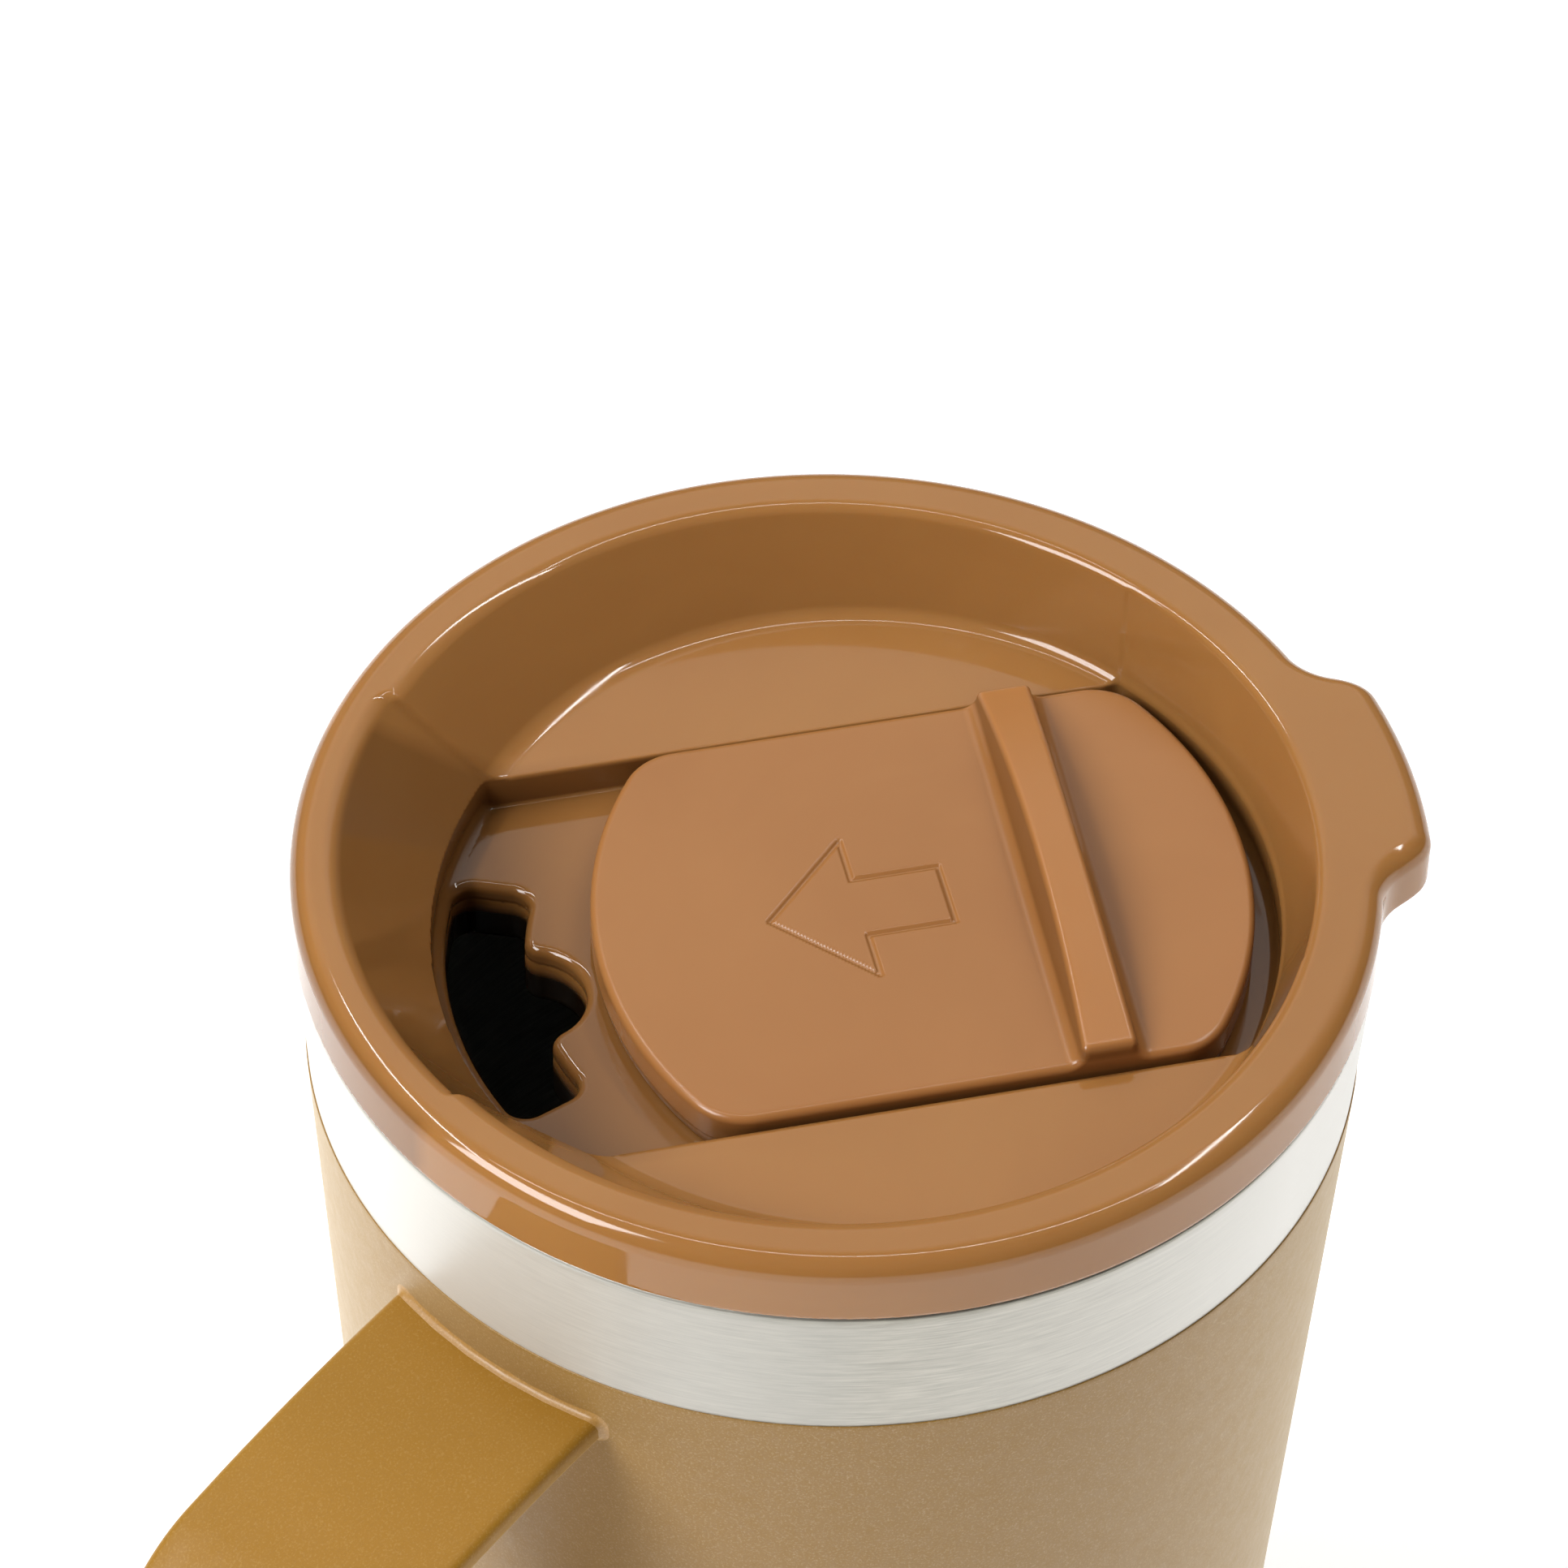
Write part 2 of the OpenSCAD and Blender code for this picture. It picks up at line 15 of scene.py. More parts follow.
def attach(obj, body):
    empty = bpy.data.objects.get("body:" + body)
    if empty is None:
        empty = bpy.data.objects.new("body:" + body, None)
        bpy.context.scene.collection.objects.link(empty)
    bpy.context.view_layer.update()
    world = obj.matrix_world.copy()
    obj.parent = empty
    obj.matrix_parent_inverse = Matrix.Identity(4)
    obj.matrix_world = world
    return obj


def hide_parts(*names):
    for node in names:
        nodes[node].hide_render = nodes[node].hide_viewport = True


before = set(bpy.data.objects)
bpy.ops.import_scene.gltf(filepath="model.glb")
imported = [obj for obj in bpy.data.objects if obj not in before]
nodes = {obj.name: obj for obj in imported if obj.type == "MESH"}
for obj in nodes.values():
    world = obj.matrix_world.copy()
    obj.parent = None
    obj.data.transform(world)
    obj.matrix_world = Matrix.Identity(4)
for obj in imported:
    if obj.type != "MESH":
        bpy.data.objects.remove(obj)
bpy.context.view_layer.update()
scene = bpy.context.scene
MM = 0.001

# ---------------------------------------------------------------- shared dimensions (mm)
RIM_Z = 145.0
RIM_R = 49.9                            # bare steel radius at the rim
TAPER = 0.0522                          # radius lost per mm down the wall
WALL_COS = 1 / math.sqrt(1 + TAPER * TAPER)
COAT = 0.15                             # powder coat thickness
BAND_Z = RIM_Z - 15.95                  # the coat stops here, bare steel above
TAB_AZ = math.radians(142.3)

# lid and slider: heights from the rim
DECK, TRACK = -2.7, -6.4                # floors of the bowl and of the slider's track
SLIDER_X = 8.3
SLIDER_MAGNET_X = -6.0                  # in the slider's frame
LID_MAGNET_X = (SLIDER_X + SLIDER_MAGNET_X, -12.3)
MAGNET_Y, MAGNET_R = 13, 4

LID_M = Matrix.Translation((0, 0, RIM_Z)) @ Matrix.Rotation(TAB_AZ, 4, "Z")
SLIDER_M = LID_M @ Matrix.Translation((SLIDER_X, 0, 0))


def cone_r(z):
    return RIM_R - TAPER * (RIM_Z - z)


def register(obj, rides, piece):
    """Tells the frame what the object moves with, which CAD piece it replaces."""
    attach(obj, rides)
    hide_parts(piece)


# ---------------------------------------------------------------- mesh helpers
def new_mesh(name, verts_mm, faces, sharp=30.0):
    """Smooth-shaded object, with edges over `sharp` degrees kept sharp and faces outward."""
    mesh = bpy.data.meshes.new(name)
    mesh.from_pydata([tuple(v) for v in np.asarray(verts_mm, float) * MM], [], faces)
    mesh.validate()
    mesh.update()
    mesh.polygons.foreach_set("use_smooth", [True] * len(mesh.polygons))
    mesh.set_sharp_from_angle(angle=math.radians(sharp))
    obj = bpy.data.objects.new(name, mesh)
    scene.collection.objects.link(obj)
    fix_normals(mesh)
    return obj


def fix_normals(mesh):
    """Turns every face over when the signed volume is negative."""
    coords = np.empty(len(mesh.vertices) * 3)
    mesh.vertices.foreach_get("co", coords)
    coords = coords.reshape(-1, 3)
    mesh.calc_loop_triangles()
    tris = np.empty(len(mesh.loop_triangles) * 3, np.int32)
    mesh.loop_triangles.foreach_get("vertices", tris)
    first, second, third = (coords[column] for column in tris.reshape(-1, 3).T)
    if np.einsum("ij,ij->i", first, np.cross(second, third)).sum() < 0:
        mesh.flip_normals()
        mesh.update()


def fillet_path(points, steps=7, support=0.35):
    """Rounds a closed outline of (radius, z) or (radius, z, fillet) points.

    Where there is room, a supporting point is added on each side of a fillet.
    """
    out = []
    for i, point in enumerate(points):
        corner = np.array(point[:2], float)
        if len(point) < 3:
            out.append(corner)
            continue
        before = np.array(points[i - 1][:2], float) - corner
        after = np.array(points[(i + 1) % len(points)][:2], float) - corner
        len_before, len_after = np.linalg.norm(before), np.linalg.norm(after)
        before, after = before / len_before, after / len_after
        angle = math.acos(max(-1, min(1, float(before @ after))))
        reach = min(point[2] / math.tan(angle / 2), len_before * 0.48, len_after * 0.48)
        radius = reach * math.tan(angle / 2)
        bisector = (before + after) / np.linalg.norm(before + after)
        centre = corner + bisector * (radius / math.sin(angle / 2))
        start, end = corner + before * reach, corner + after * reach
        if len_before > reach + 2.2 * support:
            out.append(start + before * support)
        (x0, y0), (x1, y1) = start - centre, end - centre
        angle0 = math.atan2(y0, x0)
        sweep = math.atan2(x0 * y1 - y0 * x1, x0 * x1 + y0 * y1)
        for k in range(steps + 1):
            turn = angle0 + sweep * k / steps
            out.append(centre + radius * np.array([math.cos(turn), math.sin(turn)]))
        if len_after > reach + 2.2 * support:
            out.append(end + after * support)
    return out


def lathe(name, outline, segments, sharp=30.0):
    """Closed outline of (radius, z) turned about Z. A point on the axis becomes one vertex."""
    rings, verts, faces = [], [], []
    angles = [2 * math.pi * i / segments for i in range(segments)]
    circle = [(math.cos(angle), math.sin(angle)) for angle in angles]
    for radius, z in outline:
        if radius < 1e-6:
            rings.append([len(verts)])
            verts.append((0, 0, z))
        else:
            rings.append(list(range(len(verts), len(verts) + segments)))
            verts += [(radius * x, radius * y, z) for x, y in circle]
    for ring, after in zip(rings, rings[1:] + rings[:1]):
        if len(ring) == 1 and len(after) == 1:
            continue
        for i in range(segments):
            j = (i + 1) % segments
            if len(ring) == 1:
                faces.append((ring[0], after[j], after[i]))
            elif len(after) == 1:
                faces.append((ring[i], ring[j], after[0]))
            else:
                faces.append((ring[i], ring[j], after[j], after[i]))
    return new_mesh(name, verts, faces, sharp)


def skin(name, rows, sharp=30.0, cap_step=-1):
    """Tube through rows of equal length, capped; cap_step is the first cap's winding."""
    count = len(rows[0])
    faces = []
    for k in range(len(rows) - 1):
        for i in range(count):
            j = (i + 1) % count
            faces.append((k * count + i, k * count + j,
                          (k + 1) * count + j, (k + 1) * count + i))
    last = (len(rows) - 1) * count
    faces.append(tuple(range(count))[::cap_step])
    faces.append(tuple(range(last, last + count))[::-cap_step])
    return new_mesh(name, [v for row in rows for v in row], faces, sharp)


# ---------------------------------------------------------------- distance-field helpers
def smooth_cut(first, second, radius):
    """Where both hold, the edge between them rounded."""
    over1, over2 = np.maximum(radius + first, 0), np.maximum(radius + second, 0)
    return np.minimum(-radius, np.maximum(first, second)) + np.hypot(over1, over2)


def smooth_join(first, second, radius):
    """Where either holds, the corner between them filled."""
    under1, under2 = np.maximum(radius - first, 0), np.maximum(radius - second, 0)
    return np.maximum(radius, np.minimum(first, second)) - np.hypot(under1, under2)


def smooth_step(value):
    value = np.clip(value, 0, 1)
    return value * value * (3 - 2 * value)


def surface(name, field, low, high, pitch, matrix):
    """Mesh of field == 0 on a grid of the given pitch.

    Vertices are pulled onto the true surface and normals come from the field.
    """
    low, high = np.array(low, float), np.array(high, float)
    counts = np.ceil((high - low) / pitch).astype(int) + 1
    axes = [(low[k] + pitch * np.arange(counts[k])).astype(np.float32) for k in range(3)]
    volume = np.empty(tuple(counts), np.float32)
    slice_step = max(1, int(1.5e6 // (counts[1] * counts[2])))    # bounds the memory in use
    for i in range(0, counts[0], slice_step):
        block = np.meshgrid(axes[0][i:i + slice_step], axes[1], axes[2], indexing="ij")
        volume[i:i + slice_step] = field(*block)
    grid = openvdb.FloatGrid(4 * pitch)
    grid.copyFromArray(np.clip(volume, -4 * pitch, 4 * pitch))
    points, quads = grid.convertToQuads(isovalue=0.0)
    points = points.astype(float) * pitch + low
    delta = 0.04

    def gradient(places):
        slopes = np.empty_like(places)
        for k in range(3):
            shift = np.zeros(3)
            shift[k] = delta
            ahead, behind = field(*(places + shift).T), field(*(places - shift).T)
            slopes[:, k] = (ahead - behind) / (2 * delta)
        return slopes

    for _ in range(3):
        slopes = gradient(points)
        move = field(*points.T) / np.maximum((slopes * slopes).sum(1), 0.2)
        points -= np.clip(move, -0.4 * pitch, 0.4 * pitch)[:, None] * slopes
    slopes = gradient(points)
    normals = slopes / np.maximum(np.linalg.norm(slopes, axis=1), 1e-9)[:, None]
    placing = np.array(matrix)
    points = (points @ placing[:3, :3].T + placing[:3, 3]) * MM
    normals = normals @ placing[:3, :3].T
    mesh = bpy.data.meshes.new(name)
    mesh.vertices.add(len(points))
    mesh.vertices.foreach_set("co", points.astype(np.float32).ravel())
    mesh.loops.add(quads.size)
    mesh.loops.foreach_set("vertex_index", quads.astype(np.int32)[:, ::-1].ravel())
    mesh.polygons.add(len(quads))
    mesh.polygons.foreach_set("loop_start", np.arange(0, quads.size, 4, dtype=np.int32))
    mesh.update(calc_edges=True)
    mesh.validate()
    obj = bpy.data.objects.new(name, mesh)
    scene.collection.objects.link(obj)
    fix_normals(mesh)
    mesh.polygons.foreach_set("use_smooth", [True] * len(mesh.polygons))
    mesh.normals_split_custom_set_from_vertices([tuple(v) for v in normals])
    return obj


# ---------------------------------------------------------------- lid body
FLANGE_R, FLANGE_H = 50.0, 7.0
TAB_R, TAB_HALF_W = 54.7, 12.1
PLUG_R, PLUG_FOOT = 45.6, -14.5
GROOVE_R, GROOVE_TOP, GROOVE_FOOT = 44, -6.0, -10.0
HOLLOW_R, HOLLOW_TOP = 42.2, -8.8       # hollow in the underside
WING_Y, WING_TOP = 25.9, -4.9           # the hollow is taller beyond this |y|
PART_TOP = -8.0                         # tube and magnet rings run up into the floor to here
TUBE_WALL, TUBE_FOOT = 1.6, -13.5
RING_R, RING_FOOT = 5.2, -10.4
SLOT_R, SLOT_HALF_W = 32.35, 3.65       # middle radius of the drinking slot
SLOT_END, SLOT_CORNER = math.radians(21.3), 2.0
LOBE_X, LOBE_R = -28.8, 5.3             # round lobe joined to the slot
BOWL_TOP, BOWL_R = 5.2, 43.4            # the bowl's wall is set out from this height
BOWL_SPAN, BOWL_LIMIT = 5.5, 1.436      # height over which it leans, limit of the lean
TRACK_SPAN, TRACK_R = 7.9, 44.45
TRACK_HALF_W = 23.7


def opening_2d(x, y):
    """Annular slot with rounded corners, and the lobe."""
    radius = np.hypot(x, y)
    angle = np.arctan2(np.abs(y), -x)
    across = np.abs(radius - SLOT_R) - (SLOT_HALF_W - SLOT_CORNER)
    along = (angle - SLOT_END) * np.minimum(radius, 40)
    slot = (np.hypot(np.maximum(across, 0), np.maximum(along, 0))
            + np.minimum(np.maximum(across, along), 0) - SLOT_CORNER)
    lobe = np.hypot(x - LOBE_X, y) - LOBE_R
    return smooth_join(slot, lobe, 1.6)


def flange_and_tab(x, y, z, radius):
    side = radius - FLANGE_R
    tab = smooth_cut(radius - TAB_R, np.abs(y) - TAB_HALF_W, 3.2)
    plan = smooth_join(side, np.maximum(tab, -x), 3.5)
    top = z - FLANGE_H
    flange = smooth_cut(smooth_cut(side, top, 2.2), -z, 0.4)
    tabbed = smooth_cut(smooth_cut(plan, top, 2.2), 0.5 - z, 0.6)
    return np.minimum(flange, tabbed)


def cut_underside(solid, x, y, z, radius, hole):
    """Hollow with wings, then the tube round the opening, magnet rings and gasket groove."""
    under = smooth_cut(radius - HOLLOW_R, z - HOLLOW_TOP, 0.8)
    solid = smooth_cut(solid, -under, 0.4)
    wing = np.maximum(np.maximum(radius - HOLLOW_R, WING_Y - np.abs(y)), z - WING_TOP)
    solid = np.maximum(solid, -wing)
    tube = np.maximum(np.maximum(hole - TUBE_WALL, TUBE_FOOT - z), z - PART_TOP)
    solid = np.minimum(solid, tube)
    for magnet_x in LID_MAGNET_X:
        away = np.hypot(x - magnet_x, np.abs(y) - MAGNET_Y)
        ring = np.maximum(away - RING_R, np.maximum(RING_FOOT - z, z - PART_TOP))
        solid = np.minimum(solid, ring)
        bore = np.maximum(away - MAGNET_R, np.maximum(-11.5 - z, z - HOLLOW_TOP))
        solid = np.maximum(solid, -bore)
    groove = np.maximum(GROOVE_R - radius, np.maximum(z - GROOVE_TOP, GROOVE_FOOT - z))
    return np.maximum(solid, -groove)


def bowl_and_track(x, y, z):
    """The space above the deck and the slider's track sunk into it."""
    # the bowl's wall leans outward going up, and its floor is shifted towards the tab
    fall = (BOWL_TOP - z) / BOWL_SPAN
    shift = 2.0 * np.clip(fall, -0.4, BOWL_LIMIT)
    bowl_r = BOWL_R - 3.48 * np.clip(fall, -9, BOWL_LIMIT)
    wall = (np.hypot(x - shift, y) - bowl_r) * 0.845
    bowl = smooth_cut(wall, DECK - z, 1.05)
    # on the drinking side the track cuts a relief into the wall
    fall = np.clip((BOWL_TOP - z) / TRACK_SPAN, -0.4, 1.0)
    relief = (np.hypot(x - 2.87 * fall, y + 2.0 * fall) - (TRACK_R - 4.0 * fall)) * 0.88
    tabward = smooth_step((x + 4) / 16)
    track_wall = wall * tabward + relief * (1 - tabward)
    rise = np.maximum(z - DECK, 0)
    sides = np.maximum(y - (TRACK_HALF_W + rise * 0.385), -y - (TRACK_HALF_W - rise * 0.220))
    track = smooth_cut(smooth_cut(track_wall, TRACK - z, 1.0), sides, 0.32)
    return smooth_join(bowl, track, 0.24)


def lid_field(x, y, z):
    radius = np.hypot(x, y)
    plug = np.maximum(smooth_cut(radius - PLUG_R, PLUG_FOOT - z, 0.8), z - 4.5)
    solid = np.minimum(flange_and_tab(x, y, z, radius), plug)
    hole = opening_2d(x, y)
    solid = cut_underside(solid, x, y, z, radius, hole)
    solid = smooth_cut(solid, -bowl_and_track(x, y, z), 0.8)
    return smooth_cut(solid, -hole, 0.95)


lid = surface("lid_shell", lid_field, (-51, -51, -15.3), (56, 51, 7.8), 0.35, LID_M)
register(lid, "lid", "lid_body")

# ---------------------------------------------------------------- slider
PLAN_HALF_W, PLAN_CORNER = 23.1, 6
CORNER_Y = PLAN_HALF_W - PLAN_CORNER
CORNER_ARC_R = 37.5 - PLAN_CORNER       # end arc radius, less the corner radius
END_CENTRE = {1: (-6.6, 1.65), -1: (6.6, -1.65)}    # centre of the end arc on each side in x
SLIDER_TOP, SLIDER_FOOT = -1.7, -5.05
BAR_X, BAR_HALF_W, BAR_RISE = 12.55, 2.85, 4.6
ARCH_HALF, ARCH_DROP = 22.6, 2.6        # half chord and sagitta of the thumb bar's top
GROOVE_HALF_W, GROOVE_DEPTH = 0.42, 0.26
# arrow pointing to -X, outlined on the top: (x, y)
ARROW = [(-14.5, 0), (-6, 8.5), (-6, 3.5), (2.3, 3.5), (2.3, -3.5), (-6, -3.5), (-6, -8.5)]


def segment_distance(x, y, start, end):
    start_x, start_y = start
    run_x, run_y = end[0] - start_x, end[1] - start_y
    along = ((x - start_x) * run_x + (y - start_y) * run_y) / (run_x * run_x + run_y * run_y)
    along = np.clip(along, 0, 1)
    return np.hypot(x - start_x - along * run_x, y - start_y - along * run_y)


def corner_centre(side_x, side_y):
    """Centre of one rounded corner of the plan."""
    end_x, end_y = END_CENTRE[side_x]
    y = side_y * CORNER_Y
    return end_x + side_x * math.sqrt(CORNER_ARC_R * CORNER_ARC_R - (y - end_y) ** 2), y


def slider_plan(x, y):
    """Exact distance to the plan: two end arcs, straight sides, rounded corners."""
    ends = [np.hypot(x - END_CENTRE[side][0], y - END_CENTRE[side][1]) for side in (1, -1)]
    dist = np.maximum(*ends) - CORNER_ARC_R
    dist = np.maximum(dist, np.abs(y) - CORNER_Y)
    for side_x in (1, -1):
        end_x, end_y = END_CENTRE[side_x]
        for side_y in (1, -1):
            centre_x, centre_y = corner_centre(side_x, side_y)
            dir_x, dir_y = (centre_x - end_x) / CORNER_ARC_R, (centre_y - end_y) / CORNER_ARC_R
            off_x, off_y = x - centre_x, y - centre_y
            # in the corner's sector: between the arc's normal and the side's normal
            turned = side_x * side_y * (off_y * dir_x - off_x * dir_y) > 0
            dist = np.where((side_x * off_x > 0) & turned, np.hypot(off_x, off_y), dist)
    return dist - PLAN_CORNER


def slider_field(x, y, z):
    line = np.full_like(x, 1e3)
    for start, end in zip(ARROW, ARROW[1:] + ARROW[:1]):
        line = np.minimum(line, segment_distance(x, y, start, end))
    top = z - SLIDER_TOP + GROOVE_DEPTH * smooth_step(1 - line / GROOVE_HALF_W)
    # arched thumb bar with drafted faces, running out through both sides
    arch_r = (ARCH_HALF ** 2 + ARCH_DROP ** 2) / (2 * ARCH_DROP)
    arch = np.hypot(y, z - SLIDER_TOP - BAR_RISE + arch_r) - arch_r
    half_width = BAR_HALF_W - 0.17 * (z - SLIDER_TOP)
    bar = smooth_cut((np.abs(x - BAR_X - 0.0297 * y) - half_width) * 0.985, arch, 0.55)
    solid = smooth_cut(slider_plan(x, y), smooth_join(top, bar, 1.15), 0.75)
    solid = smooth_cut(solid, SLIDER_FOOT - z, 0.2)
    away = np.hypot(x - SLIDER_MAGNET_X, np.abs(y) - MAGNET_Y)
    return np.maximum(solid, -np.maximum(away - MAGNET_R, z + 3.05))


slider = surface("slider_cap", slider_field, (-31.6, -23.8, -5.7), (31.6, 23.8, 3.7), 0.25,
                 SLIDER_M)
register(slider, "slider", "slider_top")

# underplate edge: (inset from the plan, height above the plate's foot)
PLATE_EDGE = [(0.55, 0), (0.34, 0.08), (0.25, 0.3), (0.25, 1.1), (0.30, 1.22), (0.42, 1.3)]
PLATE_FOOT = TRACK + 0.05


def turn_between(start, end):
    return (end - start + math.pi) % (2 * math.pi) - math.pi


def plan_outline(inset, corner_steps=16, end_steps=48):
    """Outline of the slider plan, pulled in by inset, counter-clockwise."""
    corner_r = PLAN_CORNER - inset
    out = []
    for side_x, side_y in ((1, -1), (1, 1), (-1, 1), (-1, -1)):
        end_x, end_y = END_CENTRE[side_x]
        x, y = corner_centre(side_x, side_y)
        side = math.pi / 2 * side_y
        arc = math.atan2(y - end_y, x - end_x)
        start, end = (arc, side) if side_x * side_y > 0 else (side, arc)
        sweep = turn_between(start, end)
        for k in range(corner_steps + 1):
            angle = start + sweep * k / corner_steps
            out.append((x + corner_r * math.cos(angle), y + corner_r * math.sin(angle)))
        if side_x * side_y < 0:
            # the end arc runs on from this corner to the next
            next_x, next_y = corner_centre(side_x, -side_y)
            sweep = turn_between(arc, math.atan2(next_y - end_y, next_x - end_x))
            radius = CORNER_ARC_R + corner_r
            for k in range(1, end_steps):
                angle = arc + sweep * k / end_steps
                out.append((end_x + radius * math.cos(angle), end_y + radius * math.sin(angle)))
    return out


base = skin("slider_underplate", [
    [tuple(SLIDER_M @ Vector((x, y, PLATE_FOOT + height))) for x, y in plan_outline(inset)]
    for inset, height in PLATE_EDGE])
register(base, "slider", "slider_base")

# ---------------------------------------------------------------- cup walls
STEEL_T = 0.7
CORNER_R, CORNER_Z = 5.85, 6.8          # rounded bottom corner: radius, height of its centre
CORNER_X = cone_r(CORNER_Z) - CORNER_R / WALL_COS
FLAT_Z = CORNER_Z - CORNER_R            # underside of the steel
WALL_FOOT = 9                           # the straight wall's last point
LINER_GAP, LINER_T = 3.5, 0.6           # outer wall to liner's inner face, liner thickness
MOUTH_R = 46.4
LINER_CORNER_R, LINER_CORNER_Z = 8, 18.0
LINER_FLOOR = 10                        # upper face of the liner's floor


def wall_pt(z, depth=0.0):
    """Point of the outer wall, depth mm inside the bare steel surface."""
    return (cone_r(z) - depth / WALL_COS, z)


def wall_line(start, end, depth, steps):
    return [wall_pt(start + (end - start) * k / steps, depth) for k in range(steps + 1)]


def bottom_arc(centre_x, centre_z, radius, steps):
    """Arc from the wall's normal down to the flat bottom."""
    start, end = -math.atan(TAPER), -math.pi / 2
    angles = [start + (end - start) * k / steps for k in range(steps + 1)]
    return [(centre_x + radius * math.cos(a), centre_z + radius * math.sin(a)) for a in angles]


def corner_arc(depth):
    return bottom_arc(CORNER_X, CORNER_Z, CORNER_R - depth, 10)


def steel_profile():
    # lip: (distance inside the rim radius, drop below the rim)
    lip = [(0.62, 0), (0.42, 0.03), (0.2, 0.14), (0.06, 0.34)]
    return ([(cone_r(RIM_Z) - inside, RIM_Z - drop) for inside, drop in lip]
            + [wall_pt(RIM_Z - 0.62)]
            + wall_line(RIM_Z - 1.4, BAND_Z - 3, 0, 8)
            + wall_line(BAND_Z - 6, WALL_FOOT, 0, 8) + corner_arc(0)
            + [(35.2, FLAT_Z), (35.2, FLAT_Z + STEEL_T)]
            + corner_arc(STEEL_T)[:0:-1]
            + wall_line(WALL_FOOT, RIM_Z - 2, STEEL_T, 12)
            + [(cone_r(RIM_Z) - 0.72, RIM_Z)])


def coat_profile():
    clear = 0.004                       # keeps the coat's back off the steel
    # upper edge: (distance outside the steel, drop below the band)
    edge = [(clear, 0), (0.07, 0.01), (0.12, 0.05)]
    back = wall_line(WALL_FOOT, BAND_Z - 0.6, 0, 22)
    return ([(cone_r(BAND_Z) + out, BAND_Z - drop) for out, drop in edge]
            + [wall_pt(BAND_Z - 0.16, -COAT)]
            + wall_line(BAND_Z - 0.6, WALL_FOOT, -COAT, 22) + corner_arc(-COAT)
            + [(36.2, FLAT_Z - COAT), (36.2, FLAT_Z - 0.005)]
            + corner_arc(0.0)[:0:-1]
            + [(radius + clear, z) for radius, z in back])


def liner_profile():
    """Straight mouth, tapered wall, rounded floor corner."""
    # mouth: (distance outside the mouth radius, drop below the rim)
    mouth = [(0.62, 0), (0.3, 0.08), (0.08, 0.3), (0, 0.7), (0, 1.5), (0, 19), (0, 20)]
    back = LINER_GAP - LINER_T
    wall_z = (100, 70, 40, 22)
    arc_x = cone_r(LINER_CORNER_Z) - LINER_GAP / WALL_COS - LINER_CORNER_R / WALL_COS
    arc_in = bottom_arc(arc_x, LINER_CORNER_Z, LINER_CORNER_R, 12)
    arc_out = bottom_arc(arc_x, LINER_CORNER_Z, LINER_CORNER_R + LINER_T, 12)
    under, outer_r = LINER_FLOOR - LINER_T, MOUTH_R + LINER_T
    return ([(MOUTH_R + out, RIM_Z - drop) for out, drop in mouth]
            + [wall_pt(z, LINER_GAP) for z in (RIM_Z - 23, RIM_Z - 26) + wall_z]
            + arc_in + [(20, LINER_FLOOR), (0, LINER_FLOOR), (0, under), (20, under)]
            + arc_out[::-1]
            + [wall_pt(z, back) for z in wall_z[::-1] + (RIM_Z - 23.5,)]
            + [(outer_r, RIM_Z - 20.2), (outer_r, RIM_Z - 1.2),
               (cone_r(RIM_Z - 0.8) - 0.8, RIM_Z - 0.8), (cone_r(RIM_Z) - 0.76, RIM_Z)])


# closed outlines: (radius, z, fillet)
CAP_OUTLINE = [(0, 1.2), (34.5, 1.2, 0.55), (34.5, 4.4, 0.2), (33.9, 4.4, 0.2),
               (33.9, 1.8, 0.2), (0, 1.8)]
FOOT_OUTLINE = [(0, 0.25), (24, 0.25, 0.2), (25, 0.0, 0.2), (34, 0.0, 0.5),
                (34, 1.2, 0.15), (0, 1.2)]
# seal with two lips, z from the rim
GASKET_OUTLINE = [
    (44.02, -9.8, 0.1),
    (45.4, -9.8, 0.15), (46.2, -9.25, 0.12), (46.34, -8.85, 0.15), (46.3, -8.4, 0.15),
    (45.4, -8.75, 0.3),
    (45.4, -7.95, 0.3), (46.2, -7.45, 0.12), (46.34, -7.05, 0.15), (46.3, -6.6, 0.15),
    (45.4, -6.95, 0.3),
    (45.4, -6.2, 0.2), (44.02, -6.2, 0.1)]

shell = lathe("steel_shell", steel_profile(), 320)
register(shell, "mug", "outer_shell")
coat = lathe("powder_finish", coat_profile(), 320)
register(coat, "mug", "powder_coat")
liner = lathe("liner_cup", liner_profile(), 256)
register(liner, "mug", "inner_liner")
cap = lathe("bottom_cap", fillet_path(CAP_OUTLINE), 192)
register(cap, "mug", "base_cap")
foot = lathe("foot_ring_pad", fillet_path(FOOT_OUTLINE), 192)
register(foot, "mug", "foot_pad")
gasket = lathe("lid_seal", fillet_path(GASKET_OUTLINE, steps=4, support=0.05), 256, 50)
gasket.data.transform(Matrix.Translation((0, 0, RIM_Z * MM)))
register(gasket, "lid", "lid_gasket")

# ---------------------------------------------------------------- handle
STRIP_W, STRIP_T = 24.2, 2.8
STRIP_R_OUT, STRIP_R_IN = 1.05, 0.9     # edge radii of the strip's outer and inner faces
ARM_R, BEND_TOP_R, BEND_LOW_R, GRIP_LEN = 171.0, 14, 16, 45
GRIP_ANGLE = -94                        # direction of the straight grip, going down


def unit(degrees):
    """Unit vector in the (x, z) plane, turned from +X."""
    angle = math.radians(degrees)
    return np.array([math.cos(angle), math.sin(angle)])


def from_up(degrees):
    """Unit vector in the (x, z) plane, turned from +Z towards +X."""
    angle = math.radians(degrees)
    return np.array([math.sin(angle), math.cos(angle)])


